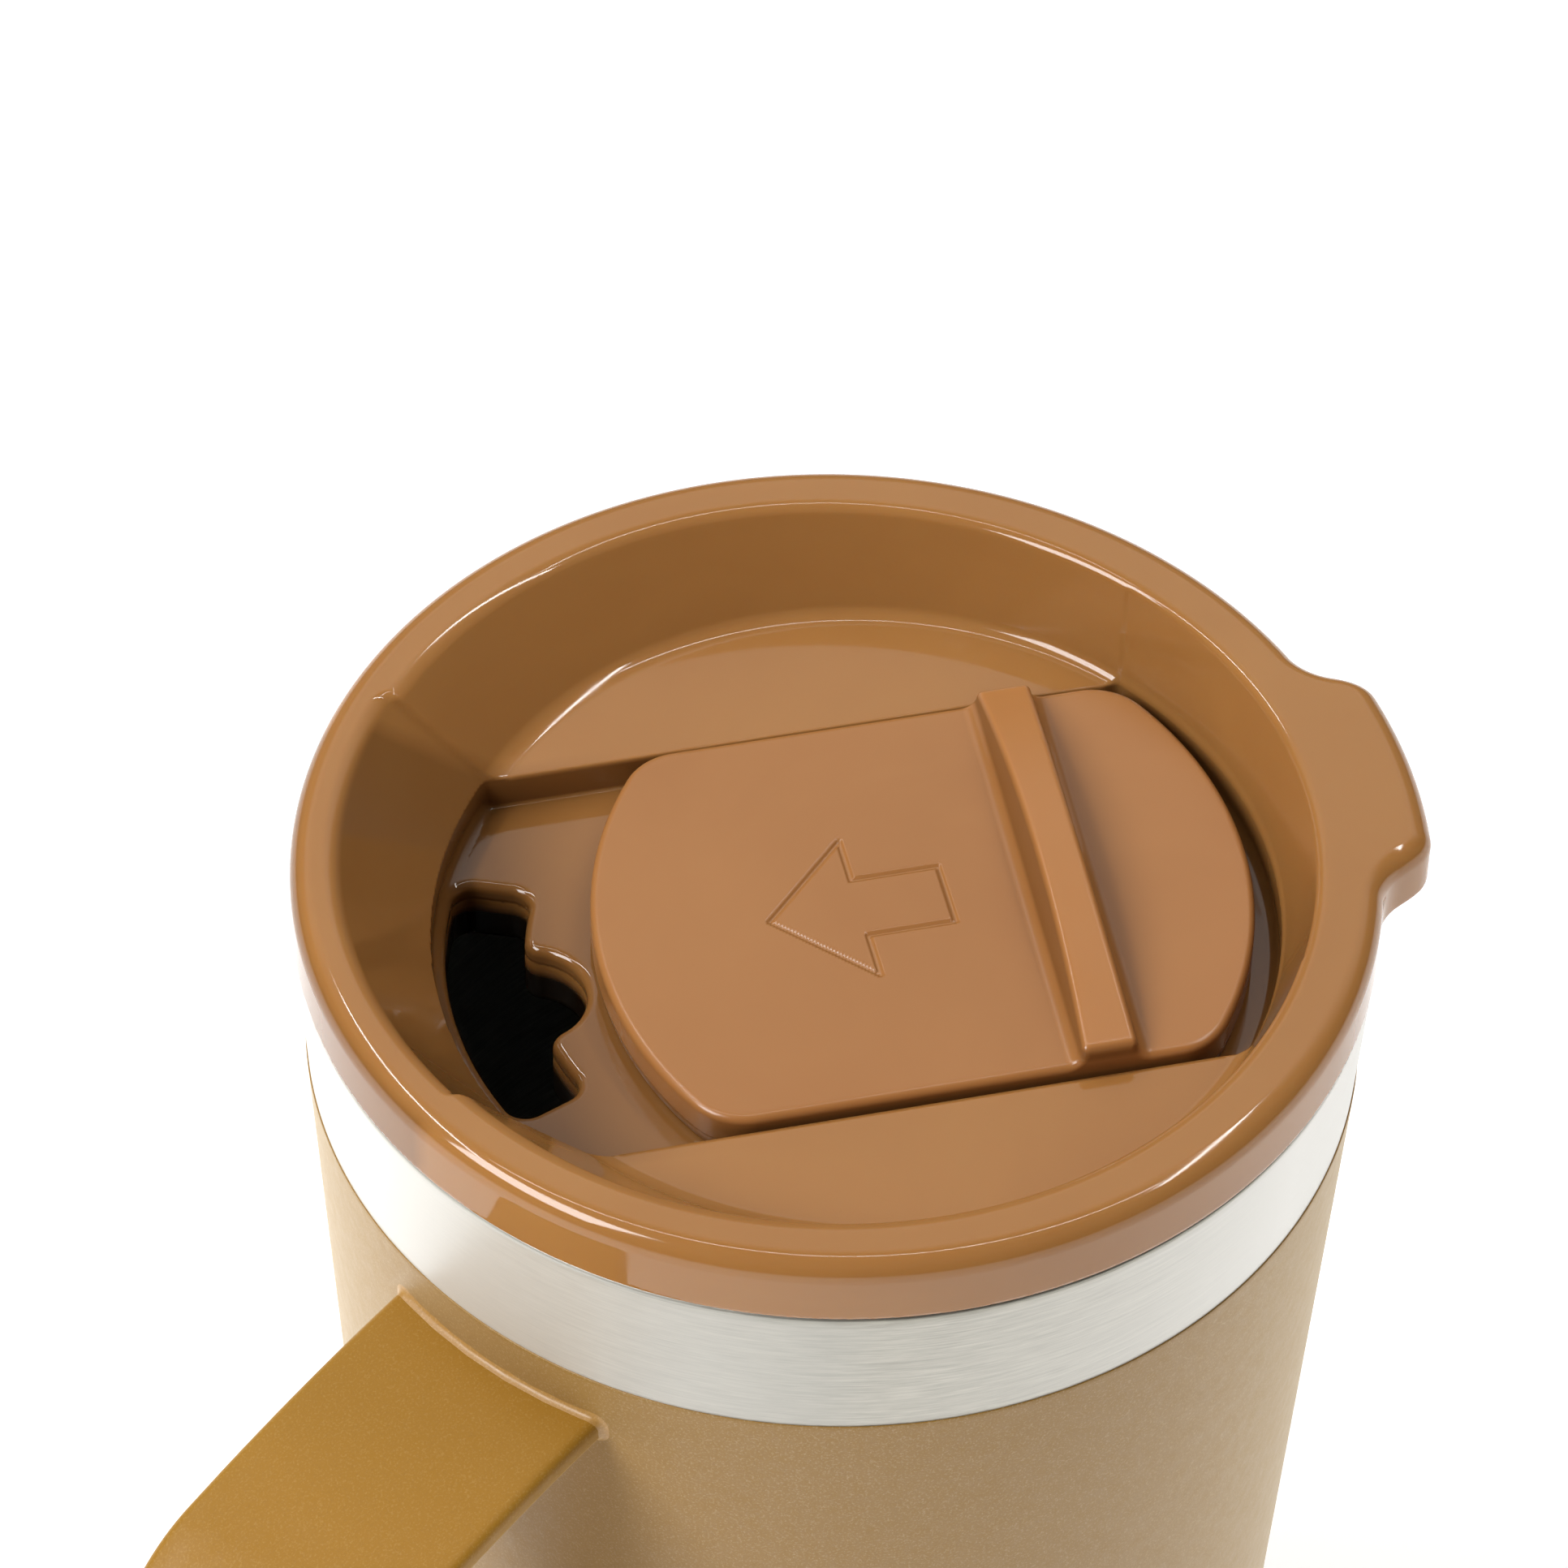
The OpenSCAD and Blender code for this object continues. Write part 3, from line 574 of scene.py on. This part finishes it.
# outer face in the (x, z) plane: arm arc, bend, straight grip, bend, arm arc
top_arm = np.array([47.0, RIM_Z - 21.4]) - ARM_R * from_up(2)
top_bend = top_arm + ARM_R * from_up(12) - BEND_TOP_R * from_up(12)
grip_top = top_bend + BEND_TOP_R * from_up(94)
grip_foot = grip_top + GRIP_LEN * unit(GRIP_ANGLE)
low_bend = grip_foot - BEND_LOW_R * from_up(94)
low_arm = low_bend + BEND_LOW_R * from_up(170) - ARM_R * from_up(170)
TOP_ARM, LOW_ARM = (top_arm, 1), (low_arm, -1)     # arc centre, side of it the arm is on


def arc_stations(centre, radius, start, end, count):
    return [(centre + radius * unit(a), unit(a)) for a in np.linspace(start, end, count)]


# (point on the outer face, outward normal)
STATIONS = (arc_stations(top_arm, ARM_R, 86.6, 79.5, 9)
            + arc_stations(top_bend, BEND_TOP_R, 77.5, -4, 30)
            + [(grip_top + (grip_foot - grip_top) * part, unit(GRIP_ANGLE + 90))
               for part in np.linspace(0.04, 0.96, 9)]
            + arc_stations(low_bend, BEND_LOW_R, -4, -79.5, 28)
            + arc_stations(low_arm, ARM_R, -81.5, -87.2, 7))


def strip_section(steps=6):
    """Rounded rectangle of (y, depth below the outer face), with points along both faces."""
    half = STRIP_W / 2
    # (side in y, start angle, radius, depth of the centre, depth of the face that follows)
    corners = [(1, 0, STRIP_R_OUT, STRIP_R_OUT, 0.0),
               (-1, 90, STRIP_R_OUT, STRIP_R_OUT, None),
               (-1, 180, STRIP_R_IN, STRIP_T - STRIP_R_IN, STRIP_T),
               (1, 270, STRIP_R_IN, STRIP_T - STRIP_R_IN, None)]
    points = []
    for side, start, radius, depth, face in corners:
        flat = half - radius
        for k in range(steps + 1):
            across, up = unit(start + 90 * k / steps)
            points.append((side * flat + radius * across, depth - radius * up))
        if face is not None:
            points += [(side * flat * part, face) for part in (0.94, 0.6, 0.2, -0.2, -0.6, -0.94)]
    return points


SECTION = strip_section()


def arm_wall_point(arm, y, depth):
    """(x, z) where the line of an arm at (y, depth) meets the coated wall."""
    centre, side = arm
    radius = ARM_R - depth
    x = 48.0
    for _ in range(30):
        z = centre[1] + side * math.sqrt(radius * radius - (x - centre[0]) ** 2)
        x = math.sqrt((cone_r(z) + COAT) ** 2 - y * y)
    return x, z


def build_handle():
    def wall_row(arm):
        ends = [(y, arm_wall_point(arm, y, depth)) for y, depth in SECTION]
        return [(x, y, z) for y, (x, z) in ends]

    rows = [[(point[0] - normal[0] * depth, y, point[1] - normal[1] * depth)
             for y, depth in SECTION] for point, normal in STATIONS]
    return skin("strip_grip", [wall_row(TOP_ARM)] + rows + [wall_row(LOW_ARM)], 40, cap_step=1)


def build_weld(name, arm, width=0.7, steps=6):
    """Concave bead round the strip where it meets the wall."""
    sink, back = 0.03, 0.05             # overlap into wall and strip, depth of the bead's back
    count = len(SECTION)
    verts, faces = [], []
    for i, (y, depth) in enumerate(SECTION):
        before, after = SECTION[i - 1], SECTION[(i + 1) % count]
        run_y, run_depth = after[0] - before[0], after[1] - before[1]
        length = math.hypot(run_y, run_depth)
        out_y, out_depth = -run_depth / length, run_y / length
        if out_y * y + out_depth * (depth - STRIP_T / 2) < 0:
            out_y, out_depth = -out_y, -out_depth
        # arc from the wall (k = 0) to the strip (k = steps)
        for k in range(steps + 1):
            turn = k / steps * math.pi / 2
            off = width * (1 - math.sin(turn)) - (sink if k == steps else 0)
            bead_y = y + out_y * off
            x, z = arm_wall_point(arm, bead_y, depth + out_depth * off)
            lift = width * (1 - math.cos(turn))
            verts.append((x + lift - (sink if k == 0 else 0), bead_y, z))
        # back of the bead, inside the corner
        x, z = arm_wall_point(arm, y - out_y * back, depth - out_depth * back)
        verts.append((x - 0.04, y - out_y * back, z))
    ring = steps + 2
    for i in range(count):
        j = (i + 1) % count
        for k in range(ring):
            l = (k + 1) % ring
            faces.append((i * ring + k, j * ring + k, j * ring + l, i * ring + l))
    return new_mesh(name, verts, faces, 50)


handle = build_handle()
register(handle, "mug", "handle_strip")
welds = [build_weld("weld_bead_upper", TOP_ARM), build_weld("weld_bead_lower", LOW_ARM)]
for weld in welds:
    register(weld, "mug", "handle_welds")


# ---------------------------------------------------------------- node helpers
def srgb(*channels):
    """Linear colour from 0-255 sRGB."""
    def linear(value):
        value /= 255
        return value / 12.92 if value <= 0.04045 else ((value + 0.055) / 1.055) ** 2.4
    return tuple(linear(value) for value in channels) + (1.0,)


SOCKETS = {
    "color": "Base Color", "rough": "Roughness", "metal": "Metallic", "ior": "IOR",
    "coat_rough": "Coat Roughness", "spec": "Specular IOR Level", "aniso": "Anisotropic",
    "tangent": "Tangent", "normal": "Normal", "sss": "Subsurface Weight",
    "sss_scale": "Subsurface Scale", "sss_radius": "Subsurface Radius",
    "glow_color": "Emission Color", "glow": "Emission Strength"}


class Nodes:
    """Node tree of a material or world; values may be numbers, colours or sockets."""

    def __init__(self, owner, shader, coord):
        owner.use_nodes = True
        self.owner = owner
        self.tree = owner.node_tree
        self.shader = self.tree.nodes[shader]
        self.coord = self.node("ShaderNodeTexCoord").outputs[coord]

    def node(self, kind, **settings):
        node = self.tree.nodes.new(kind)
        for key, value in settings.items():
            setattr(node, key, value)
        return node

    def feed(self, value, socket):
        if isinstance(value, bpy.types.NodeSocket):
            self.tree.links.new(value, socket)
        else:
            socket.default_value = value

    def scaled(self, *scale):
        node = self.node("ShaderNodeMapping")
        node.inputs["Scale"].default_value = scale
        self.feed(self.coord, node.inputs["Vector"])
        return node.outputs["Vector"]

    def noise(self, scale, detail=4.0, rough=0.5, vector=None, distortion=0.0):
        node = self.node("ShaderNodeTexNoise")
        for key, value in (("Scale", scale), ("Detail", detail), ("Roughness", rough),
                           ("Distortion", distortion), ("Vector", vector or self.coord)):
            self.feed(value, node.inputs[key])
        return node.outputs["Fac"]

    def math(self, operation, first, second=0.0, clamp=False):
        node = self.node("ShaderNodeMath", operation=operation, use_clamp=clamp)
        for i, value in enumerate((first, second, 0.0)):
            self.feed(value, node.inputs[i])
        return node.outputs[0]

    def times(self, first, second):
        return self.math("MULTIPLY", first, second)

    def dot2(self, first1, second1, first2, second2):
        return self.math("ADD", self.times(first1, second1), self.times(first2, second2))

    def remap(self, value, span, to=(0.0, 1.0), **settings):
        """Clamped map of the range span to the range to."""
        node = self.node("ShaderNodeMapRange", clamp=True, **settings)
        self.feed(value, node.inputs["Value"])
        for key, bound in zip(("From Min", "From Max", "To Min", "To Max"), (*span, *to)):
            node.inputs[key].default_value = bound
        return node.outputs["Result"]

    def mix(self, amount, first, second):
        node = self.node("ShaderNodeMix", data_type="RGBA")
        for i, value in ((0, amount), (6, first), (7, second)):
            self.feed(value, node.inputs[i])
        return node.outputs[2]

    def mottle(self, first, second, span=(0.35, 0.65), **noise):
        """Two colours mixed by noise."""
        return self.mix(self.remap(self.noise(**noise), span), first, second)

    def bump(self, height, strength, distance, under=None):
        node = self.node("ShaderNodeBump")
        node.inputs["Strength"].default_value = strength
        node.inputs["Distance"].default_value = distance
        self.feed(height, node.inputs["Height"])
        if under is not None:
            self.feed(under, node.inputs["Normal"])
        return node.outputs["Normal"]

    def split(self, vector=None):
        node = self.node("ShaderNodeSeparateXYZ")
        self.feed(vector or self.coord, node.inputs[0])
        return node.outputs

    def facing(self):
        node = self.node("ShaderNodeLayerWeight")
        node.inputs["Blend"].default_value = 0.5
        return node.outputs["Facing"]

    def set(self, **values):
        for key, value in values.items():
            self.feed(value, self.shader.inputs[SOCKETS[key]])
        return self

    def on(self, *objects):
        for obj in objects:
            obj.data.materials.clear()
            obj.data.materials.append(self.owner)


def material(name):
    return Nodes(bpy.data.materials.new(name), "Principled BSDF", "Object")


def rim_span(start, end):
    """Two heights in mm from the rim, as object z."""
    return ((RIM_Z + start) * MM, (RIM_Z + end) * MM)


# ---------------------------------------------------------------- plastics and silicone
SHADE_BROWN = srgb(74, 44, 16)


def bar_shade_and_highlight(mat, color):
    """Thumb bar: painted shade on its steep faces, painted highlight along its top."""
    z = mat.split()[2]
    geometry = mat.node("ShaderNodeNewGeometry")
    normal_z = mat.split(geometry.outputs["Normal"])[2]
    # painted shade: steep faces darkened towards brown
    steep = mat.remap(normal_z, span=(0.30, 0.80), to=(0.42, 0.0))
    above = mat.remap(z, span=rim_span(-1.5, -0.9))
    color = mat.mix(mat.times(steep, above), color, SHADE_BROWN)
    # painted highlight: the top lightened and warmed
    crest_highlight = mat.remap(normal_z, span=(0.75, 0.95), to=(0.0, 0.32))
    return mat.mix(mat.times(crest_highlight, above), color, srgb(190, 126, 66))


def lid_painted_shade(mat, color):
    """Lid: painted shade on the drinking side's relief and track floor, and painted near-black
    shade deep in the opening.
    """
    x, y, z = mat.split()
    # painted shade: near black deep in the opening, inside the tube under the lid
    low = mat.remap(z, span=rim_span(-10.0, -9.1), to=(1.0, 0.0))
    well_shade_core = mat.remap(mat.dot2(x, x, y, y), span=(0.0405 ** 2, 0.0420 ** 2), to=(1.0, 0.0))
    # painted shade on the drinking side: relief wall and track floor darkened towards brown
    to_lid = LID_M.inverted()
    lid_x = mat.dot2(x, to_lid[0][0], y, to_lid[0][1])
    lid_y = mat.dot2(x, to_lid[1][0], y, to_lid[1][1])
    near = mat.remap(lid_x, span=(-15 * MM, -29 * MM))
    side = mat.remap(mat.math("ABSOLUTE", lid_y), span=(25.5 * MM, 23.6 * MM))
    below = mat.remap(z, span=rim_span(6.75, 6.0))
    drink_side_shade = mat.times(mat.times(near, side), below)
    amount = mat.remap(z, span=rim_span(-5.8, -3.2), to=(0.68, 0.40))
    color = mat.mix(mat.times(drink_side_shade, amount), color, SHADE_BROWN)
    return mat.mix(mat.times(mat.times(low, well_shade_core), 0.97), color, srgb(8, 6, 4))


def moulded(name, light, dark, rough, sss, fine=0.01, reach=0.016, depth=0.5, vary=1.0,
            tone=None):
    """Moulded plastic: faint flow tone, tiny waviness and micro-texture.

    fine: micro-texture strength; reach, depth: how far and how much painted shade darkens
    corners;
    vary: roughness variation; tone: painted shade and highlight for one piece.
    """
    mat = material(name)
    flow = mat.noise(scale=38, detail=3, rough=0.55, vector=mat.scaled(1.0, 1.0, 2.2),
                     distortion=0.6)
    cloud = mat.noise(scale=14, detail=2)
    color = mat.mix(mat.remap(mat.dot2(flow, 0.6, cloud, 0.4), span=(0.35, 0.65)), dark, light)
    speck = mat.remap(mat.noise(scale=2400, detail=2), span=(0.70, 0.80), to=(0.0, 0.10))
    color = mat.mix(speck, color, srgb(120, 84, 48))
    roughness = mat.remap(mat.noise(scale=220, rough=0.6), span=(0.3, 0.7),
                          to=(rough - 0.03 * vary, rough + 0.04 * vary))
    # painted shade: corners and the foot of the walls darkened by ambient occlusion
    occlusion = mat.node("ShaderNodeAmbientOcclusion", samples=6)
    occlusion.inputs["Distance"].default_value = reach
    shade = mat.remap(occlusion.outputs["AO"], span=(0.25, 0.85), to=(depth, 0.0))
    color = mat.mix(shade, color, SHADE_BROWN)
    if tone:
        color = tone(mat, color)
    wave = mat.bump(mat.noise(scale=85, detail=2, rough=0.4), strength=0.25, distance=0.00006)
    normal = mat.bump(mat.noise(scale=1900, detail=3, rough=0.6), strength=fine,
                      distance=0.00008, under=wave)
    return mat.set(color=color, rough=roughness, normal=normal, ior=1.5, sss=sss,
                   sss_radius=(1.0, 0.45, 0.18), sss_scale=0.0016, coat_rough=0.05)


def gasket_silicone():
    mat = material("m_gasket_silicone")
    color = mat.mottle(srgb(150, 112, 74), srgb(160, 122, 82), scale=60, detail=3)
    normal = mat.bump(mat.noise(scale=900, detail=3, rough=0.6), strength=0.15,
                      distance=0.00005)
    rough = mat.remap(mat.noise(scale=300, detail=3), span=(0.3, 0.7), to=(0.42, 0.56))
    return mat.set(color=color, rough=rough, normal=normal, sss=0.2, sss_radius=(1, 0.6, 0.3),
                   sss_scale=0.001)


def foot_silicone():
    mat = material("m_foot_silicone")
    color = mat.mottle(srgb(74, 62, 50), srgb(90, 76, 62), scale=70)
    grain = mat.noise(scale=1300, detail=3, rough=0.6)
    return mat.set(color=color, rough=mat.remap(grain, span=(0.3, 0.7), to=(0.6, 0.78)),
                   normal=mat.bump(grain, strength=0.3, distance=0.00008))


# ---------------------------------------------------------------- metals and powder coat
def brushed(name, light, dark, rough, metal=1.0, glance_reflection_color=None):
    """Steel brushed round the axis. A colour for glancing angles adds the outer shell's painted
    reflections.
    """
    mat = material(name)
    x, y, z = mat.split()
    angle = mat.math("ARCTAN2", y, x)

    def wrapped(along, around=None):
        """Noise coordinates wrapped round the axis, scaled around it and along it."""
        combine = mat.node("ShaderNodeCombineXYZ")
        for i, operation in enumerate(("COSINE", "SINE")):
            turn = mat.math(operation, angle)
            mat.feed(mat.times(turn, around) if around else turn, combine.inputs[i])
        mat.feed(mat.times(z, along), combine.inputs[2])
        return combine.outputs[0]

    fine = mat.noise(scale=3.2, detail=6, rough=0.7, vector=wrapped(along=2600.0, around=1.1))
    coarse = mat.noise(scale=3.0, detail=5, rough=0.6, vector=wrapped(along=900.0, around=4.0))
    lines = mat.dot2(fine, 0.55, coarse, 0.45)
    color = mat.mix(mat.remap(lines, span=(0.32, 0.68)), dark, light)
    if glance_reflection_color:
        # painted reflection: soft darker patches round the band
        soft = mat.noise(scale=1.7, detail=2, rough=0.4, vector=wrapped(along=6.0))
        color = mat.mix(mat.remap(soft, span=(0.36, 0.50), to=(0.30, 0.0)), color,
                        srgb(120, 120, 114))
    roughness = mat.remap(lines, span=(0.3, 0.7), to=(rough - 0.05, rough + 0.09))
    normal = mat.bump(lines, strength=0.12, distance=0.00003)
    if glance_reflection_color:
        # fine dark line where the coat stops
        edge = mat.remap(z, span=((BAND_Z + 0.10) * MM, (BAND_Z + 0.34) * MM), to=(1.0, 0.0))
        edge = mat.times(edge, mat.remap(mat.noise(scale=420, detail=3, rough=0.6),
                                         span=(0.40, 0.62), to=(0.15, 0.85)))
        color = mat.mix(edge, color, srgb(84, 74, 58))
        # painted reflection: the band pales towards glancing angles
        color = mat.mix(mat.remap(mat.facing(), span=(0.33, 0.75)), color, glance_reflection_color)
        # painted light: beside the handle the band is lightened and less metallic, so the strip's
        # reflection stays faint
        beside_handle_light = mat.remap(mat.math("COSINE", angle), span=(0.72, 0.99))
        metal = mat.remap(beside_handle_light, span=(0.0, 1.0), to=(metal, 0.2))
        color = mat.mix(mat.times(beside_handle_light, 0.30), color, srgb(240, 238, 230))
    tangent = mat.node("ShaderNodeTangent", direction_type="RADIAL", axis="Z")
    return mat.set(color=color, rough=roughness, metal=metal, aniso=0.75,
                   tangent=tangent.outputs[0], normal=normal, spec=0.8)


def powder(name, light, dark, pale, rough, grain, edge, spec=0.5):
    """Satin powder coat: orange peel, fine speckle, and painted light that pales it at glancing
    angles.

    grain: speckle strength; edge: strength of the painted glancing light.
    """
    mat = material(name)
    color = mat.mottle(dark, light, scale=9, detail=2)
    speckle = mat.noise(scale=4200, detail=2, rough=0.65)
    color = mat.mix(mat.remap(speckle, span=(0.52, 0.72), to=(0.0, 0.34 * grain)), color, pale)
    speckle = mat.noise(scale=3600, detail=2, rough=0.65, vector=mat.scaled(1.03, 0.97, 1.01))
    color = mat.mix(mat.remap(speckle, span=(0.52, 0.72), to=(0.0, 0.30 * grain)), color,
                    srgb(112, 82, 44))
    # painted light: paler towards glancing angles
    painted_glance = mat.remap(mat.facing(), span=(0.35, 1.0))
    painted_glance = mat.math("MULTIPLY", mat.math("POWER", painted_glance, 1.6), edge, clamp=True)
    color = mat.mix(painted_glance, color, pale)
    peel = mat.bump(mat.noise(scale=620, detail=3, rough=0.55), strength=0.22,
                    distance=0.00007)
    normal = mat.bump(mat.noise(scale=2600, detail=2, rough=0.6), strength=0.12,
                      distance=0.00004, under=peel)
    roughness = mat.remap(mat.noise(scale=700, detail=3, rough=0.6), span=(0.3, 0.7),
                          to=(rough - 0.06, rough + 0.08))
    return mat.set(color=color, rough=roughness, normal=normal, ior=1.5, spec=spec)


def plain_metal(name, first, second, rough, scale=120.0, metal=1.0, bump=0.06):
    mat = material(name)
    color = mat.mottle(first, second, scale=scale, rough=0.6)
    scratch = mat.noise(scale=900, detail=3, rough=0.6, vector=mat.scaled(0.15, 1, 1))
    return mat.set(color=color, metal=metal,
                   rough=mat.remap(scratch, span=(0.3, 0.7), to=(rough - 0.06, rough + 0.1)),
                   normal=mat.bump(scratch, strength=bump, distance=0.00004))


# ---------------------------------------------------------------- materials on the pieces
moulded("m_lid_plastic", srgb(162, 113, 61), srgb(156, 107, 57), rough=0.07, sss=0.2,
        tone=lid_painted_shade).on(lid)
moulded("m_slider_plastic", srgb(163, 111, 62), srgb(157, 105, 57), rough=0.26, sss=0.12,
        fine=0.006, reach=0.007, depth=0.62, vary=0.3, tone=bar_shade_and_highlight).on(slider)
moulded("m_slider_base_plastic", srgb(140, 94, 50), srgb(132, 87, 45), rough=0.3,
        sss=0.1).on(base)
moulded("m_cover_plastic", srgb(168, 118, 68), srgb(160, 111, 63), rough=0.3, sss=0.1,
        fine=0.05).on(nodes["lid_base_cover"])
gasket_silicone().on(gasket)
brushed("m_bare_steel", srgb(188, 184, 171), srgb(118, 114, 102), rough=0.36, metal=0.5,
        glance_reflection_color=srgb(224, 222, 216)).on(shell)
brushed("m_liner_steel", srgb(214, 214, 209), srgb(176, 176, 172), rough=0.42,
        metal=0.45).on(liner)
powder("m_powder_coat", srgb(151, 114, 50), srgb(145, 108, 46), srgb(228, 209, 174),
       rough=0.48, grain=0.6, edge=0.6).on(coat)
powder("m_handle_coat", srgb(156, 112, 31), srgb(149, 105, 26), srgb(220, 188, 124),
       rough=0.5, grain=0.4, edge=0.36, spec=0.3).on(handle)
powder("m_weld_coat", srgb(178, 136, 74), srgb(166, 122, 60), srgb(220, 194, 146),
       rough=0.36, grain=0.8, edge=0.3).on(*welds)

NICKEL = dict(first=srgb(176, 176, 178), second=srgb(196, 196, 198), rough=0.2, scale=200)
for piece, name, look in (
        ("copper_foil", "m_copper_foil",
         dict(first=srgb(190, 112, 74), second=srgb(206, 130, 90), rough=0.3, scale=60)),
        ("vacuum_bottom", "m_stamped_steel",
         dict(first=srgb(176, 176, 172), second=srgb(196, 196, 190), rough=0.35)),
        ("getter_clip", "m_clip_steel",
         dict(first=srgb(168, 168, 166), second=srgb(190, 190, 186), rough=0.3)),
        ("lid_magnets", "m_lid_magnet_nickel", NICKEL),
        ("slider_magnets", "m_slider_magnet_nickel", NICKEL),
        ("seal_bead", "m_seal_glass",
         dict(first=srgb(60, 72, 66), second=srgb(84, 96, 88), rough=0.15, scale=500,
              metal=0.0)),
        ("getter_pellet", "m_getter",
         dict(first=srgb(70, 68, 66), second=srgb(96, 94, 90), rough=0.7, scale=900,
              metal=0.3, bump=0.4))):
    plain_metal(name, **look).on(nodes[piece])
brushed("m_cap_steel", srgb(176, 176, 172), srgb(150, 150, 146), rough=0.38).on(cap)
foot_silicone().on(foot)

# ---------------------------------------------------------------- floor and world
CAM_AZ = 38.5     # azimuth of the camera; larger azimuths lie to the right in its view


def floor_material():
    """Off-white that glows more towards its edge."""
    mat = material("m_floor")
    mat.set(color=mat.mottle((0.95, 0.95, 0.947, 1), (0.97, 0.97, 0.967, 1), span=(0.3, 0.7),
                             scale=3, detail=2), rough=0.75, spec=0.2)
    x, y, _ = mat.split()
    radius = mat.math("SQRT", mat.dot2(x, x, y, y))
    return mat.set(glow_color=(1, 1, 1, 1),
                   glow=mat.remap(radius, span=(0.5, 1.6), to=(0.42, 0.86)))


def build_world():
    """Soft room: brighter behind the object and high up, dimmer on the camera's side."""
    world = bpy.data.worlds.new("studio")
    scene.world = world
    room = Nodes(world, "Background", "Generated")
    room.shader.inputs["Color"].default_value = (1.0, 1.0, 1.0, 1)
    dot = room.node("ShaderNodeVectorMath", operation="DOT_PRODUCT")
    far = math.radians(CAM_AZ + 180)
    dot.inputs[1].default_value = (math.cos(far), math.sin(far), 0.0)
    room.feed(room.coord, dot.inputs[0])
    behind = room.remap(dot.outputs["Value"], span=(0.30, 0.68), to=(0.10, 0.9),
                        interpolation_type="SMOOTHSTEP")
    high = room.remap(room.split()[2], span=(0.46, 0.62), to=(0.12, 1.0),
                      interpolation_type="SMOOTHSTEP")
    both = room.node("ShaderNodeMath", operation="MULTIPLY")
    room.feed(behind, both.inputs[0])
    room.feed(high, both.inputs[1])
    # plain white where the camera looks past the floor
    path = room.node("ShaderNodeLightPath")
    strength = room.node("ShaderNodeMath", operation="MAXIMUM")
    room.feed(both.outputs[0], strength.inputs[0])
    room.feed(path.outputs["Is Camera Ray"], strength.inputs[1])
    room.feed(strength.outputs[0], room.shader.inputs["Strength"])


bpy.ops.mesh.primitive_plane_add(size=9.0, location=(0, 0, -0.0004))
floor = bpy.context.object
floor.name = "studio_floor"
floor_material().on(floor)
build_world()

# ---------------------------------------------------------------- lights
LIGHT_TARGET = Vector((0, 0, 0.12))
# name, degrees round from the camera, elevation, distance, width, height, watts,
# seen in reflections
SOFTBOXES = [
    ("key_left", -60, 43, 1.25, 0.60, 0.55, 13.6, True),
    ("strip_left", -112, 55, 1.1, 0.75, 0.035, 2.4, True),
    ("strip_right", 120, 62, 1.1, 0.75, 0.035, 2.1, True),
    ("strip_top", 180, 84, 1.3, 1.3, 0.030, 2.6, True),
    ("overhead", 180, 78, 1.3, 1.1, 0.40, 0.6, False),
    ("edge_right", 96, 12, 0.9, 0.5, 0.4, 1.9, False)]


def softbox(name, offset, elevation, distance, width, height, watts, glossy):
    light = bpy.data.lights.new(name, "AREA")
    light.shape = "RECTANGLE"
    light.size, light.size_y = width, height
    light.energy = watts
    obj = bpy.data.objects.new(name, light)
    obj.visible_glossy = glossy
    turn, rise = math.radians(CAM_AZ + offset), math.radians(elevation)
    away = Vector((math.cos(rise) * math.cos(turn), math.cos(rise) * math.sin(turn),
                   math.sin(rise)))
    obj.location = away * distance + LIGHT_TARGET
    obj.rotation_euler = (LIGHT_TARGET - obj.location).to_track_quat("-Z", "Y").to_euler()
    scene.collection.objects.link(obj)


for row in SOFTBOXES:
    softbox(*row)

# ---------------------------------------------------------------- camera
CAM_DOWN, CAM_ROLL = math.radians(46.69), math.radians(1.30)
CAM_LENS, CAM_SENSOR = 169.997516, 36
# a point on the mug's axis, and where the camera sees it: right, up, ahead (m)
AIM_Z = 0.151
AIM_RIGHT, AIM_UP, AIM_AHEAD = 0.004848774, -0.0064148561, 0.6765


def build_camera():
    # set out looking along +Y, then turned about Z to its azimuth
    forward = np.array([0, math.cos(CAM_DOWN), -math.sin(CAM_DOWN)])
    level = np.array([1.0, 0, 0])
    upright = np.cross(level, forward)
    right = math.cos(CAM_ROLL) * level + math.sin(CAM_ROLL) * upright
    up = -math.sin(CAM_ROLL) * level + math.cos(CAM_ROLL) * upright
    place = -(AIM_RIGHT * right + AIM_UP * up + AIM_AHEAD * forward)
    turn = math.radians(CAM_AZ - 270)
    turning = np.array([[math.cos(turn), -math.sin(turn), 0],
                        [math.sin(turn), math.cos(turn), 0],
                        [0, 0, 1]])
    columns = (turning @ right, turning @ up, -(turning @ forward),
               turning @ place + np.array([0, 0, AIM_Z]))
    data = bpy.data.cameras.new("photo_view")
    data.sensor_width = CAM_SENSOR
    data.lens = CAM_LENS
    data.clip_start = 0.01
    camera = bpy.data.objects.new("photo_view", data)
    camera.matrix_world = Matrix(np.column_stack(columns).tolist() + [[0, 0, 0, 1]])
    scene.collection.objects.link(camera)
    scene.camera = camera


build_camera()
scene.view_settings.view_transform = "Standard"
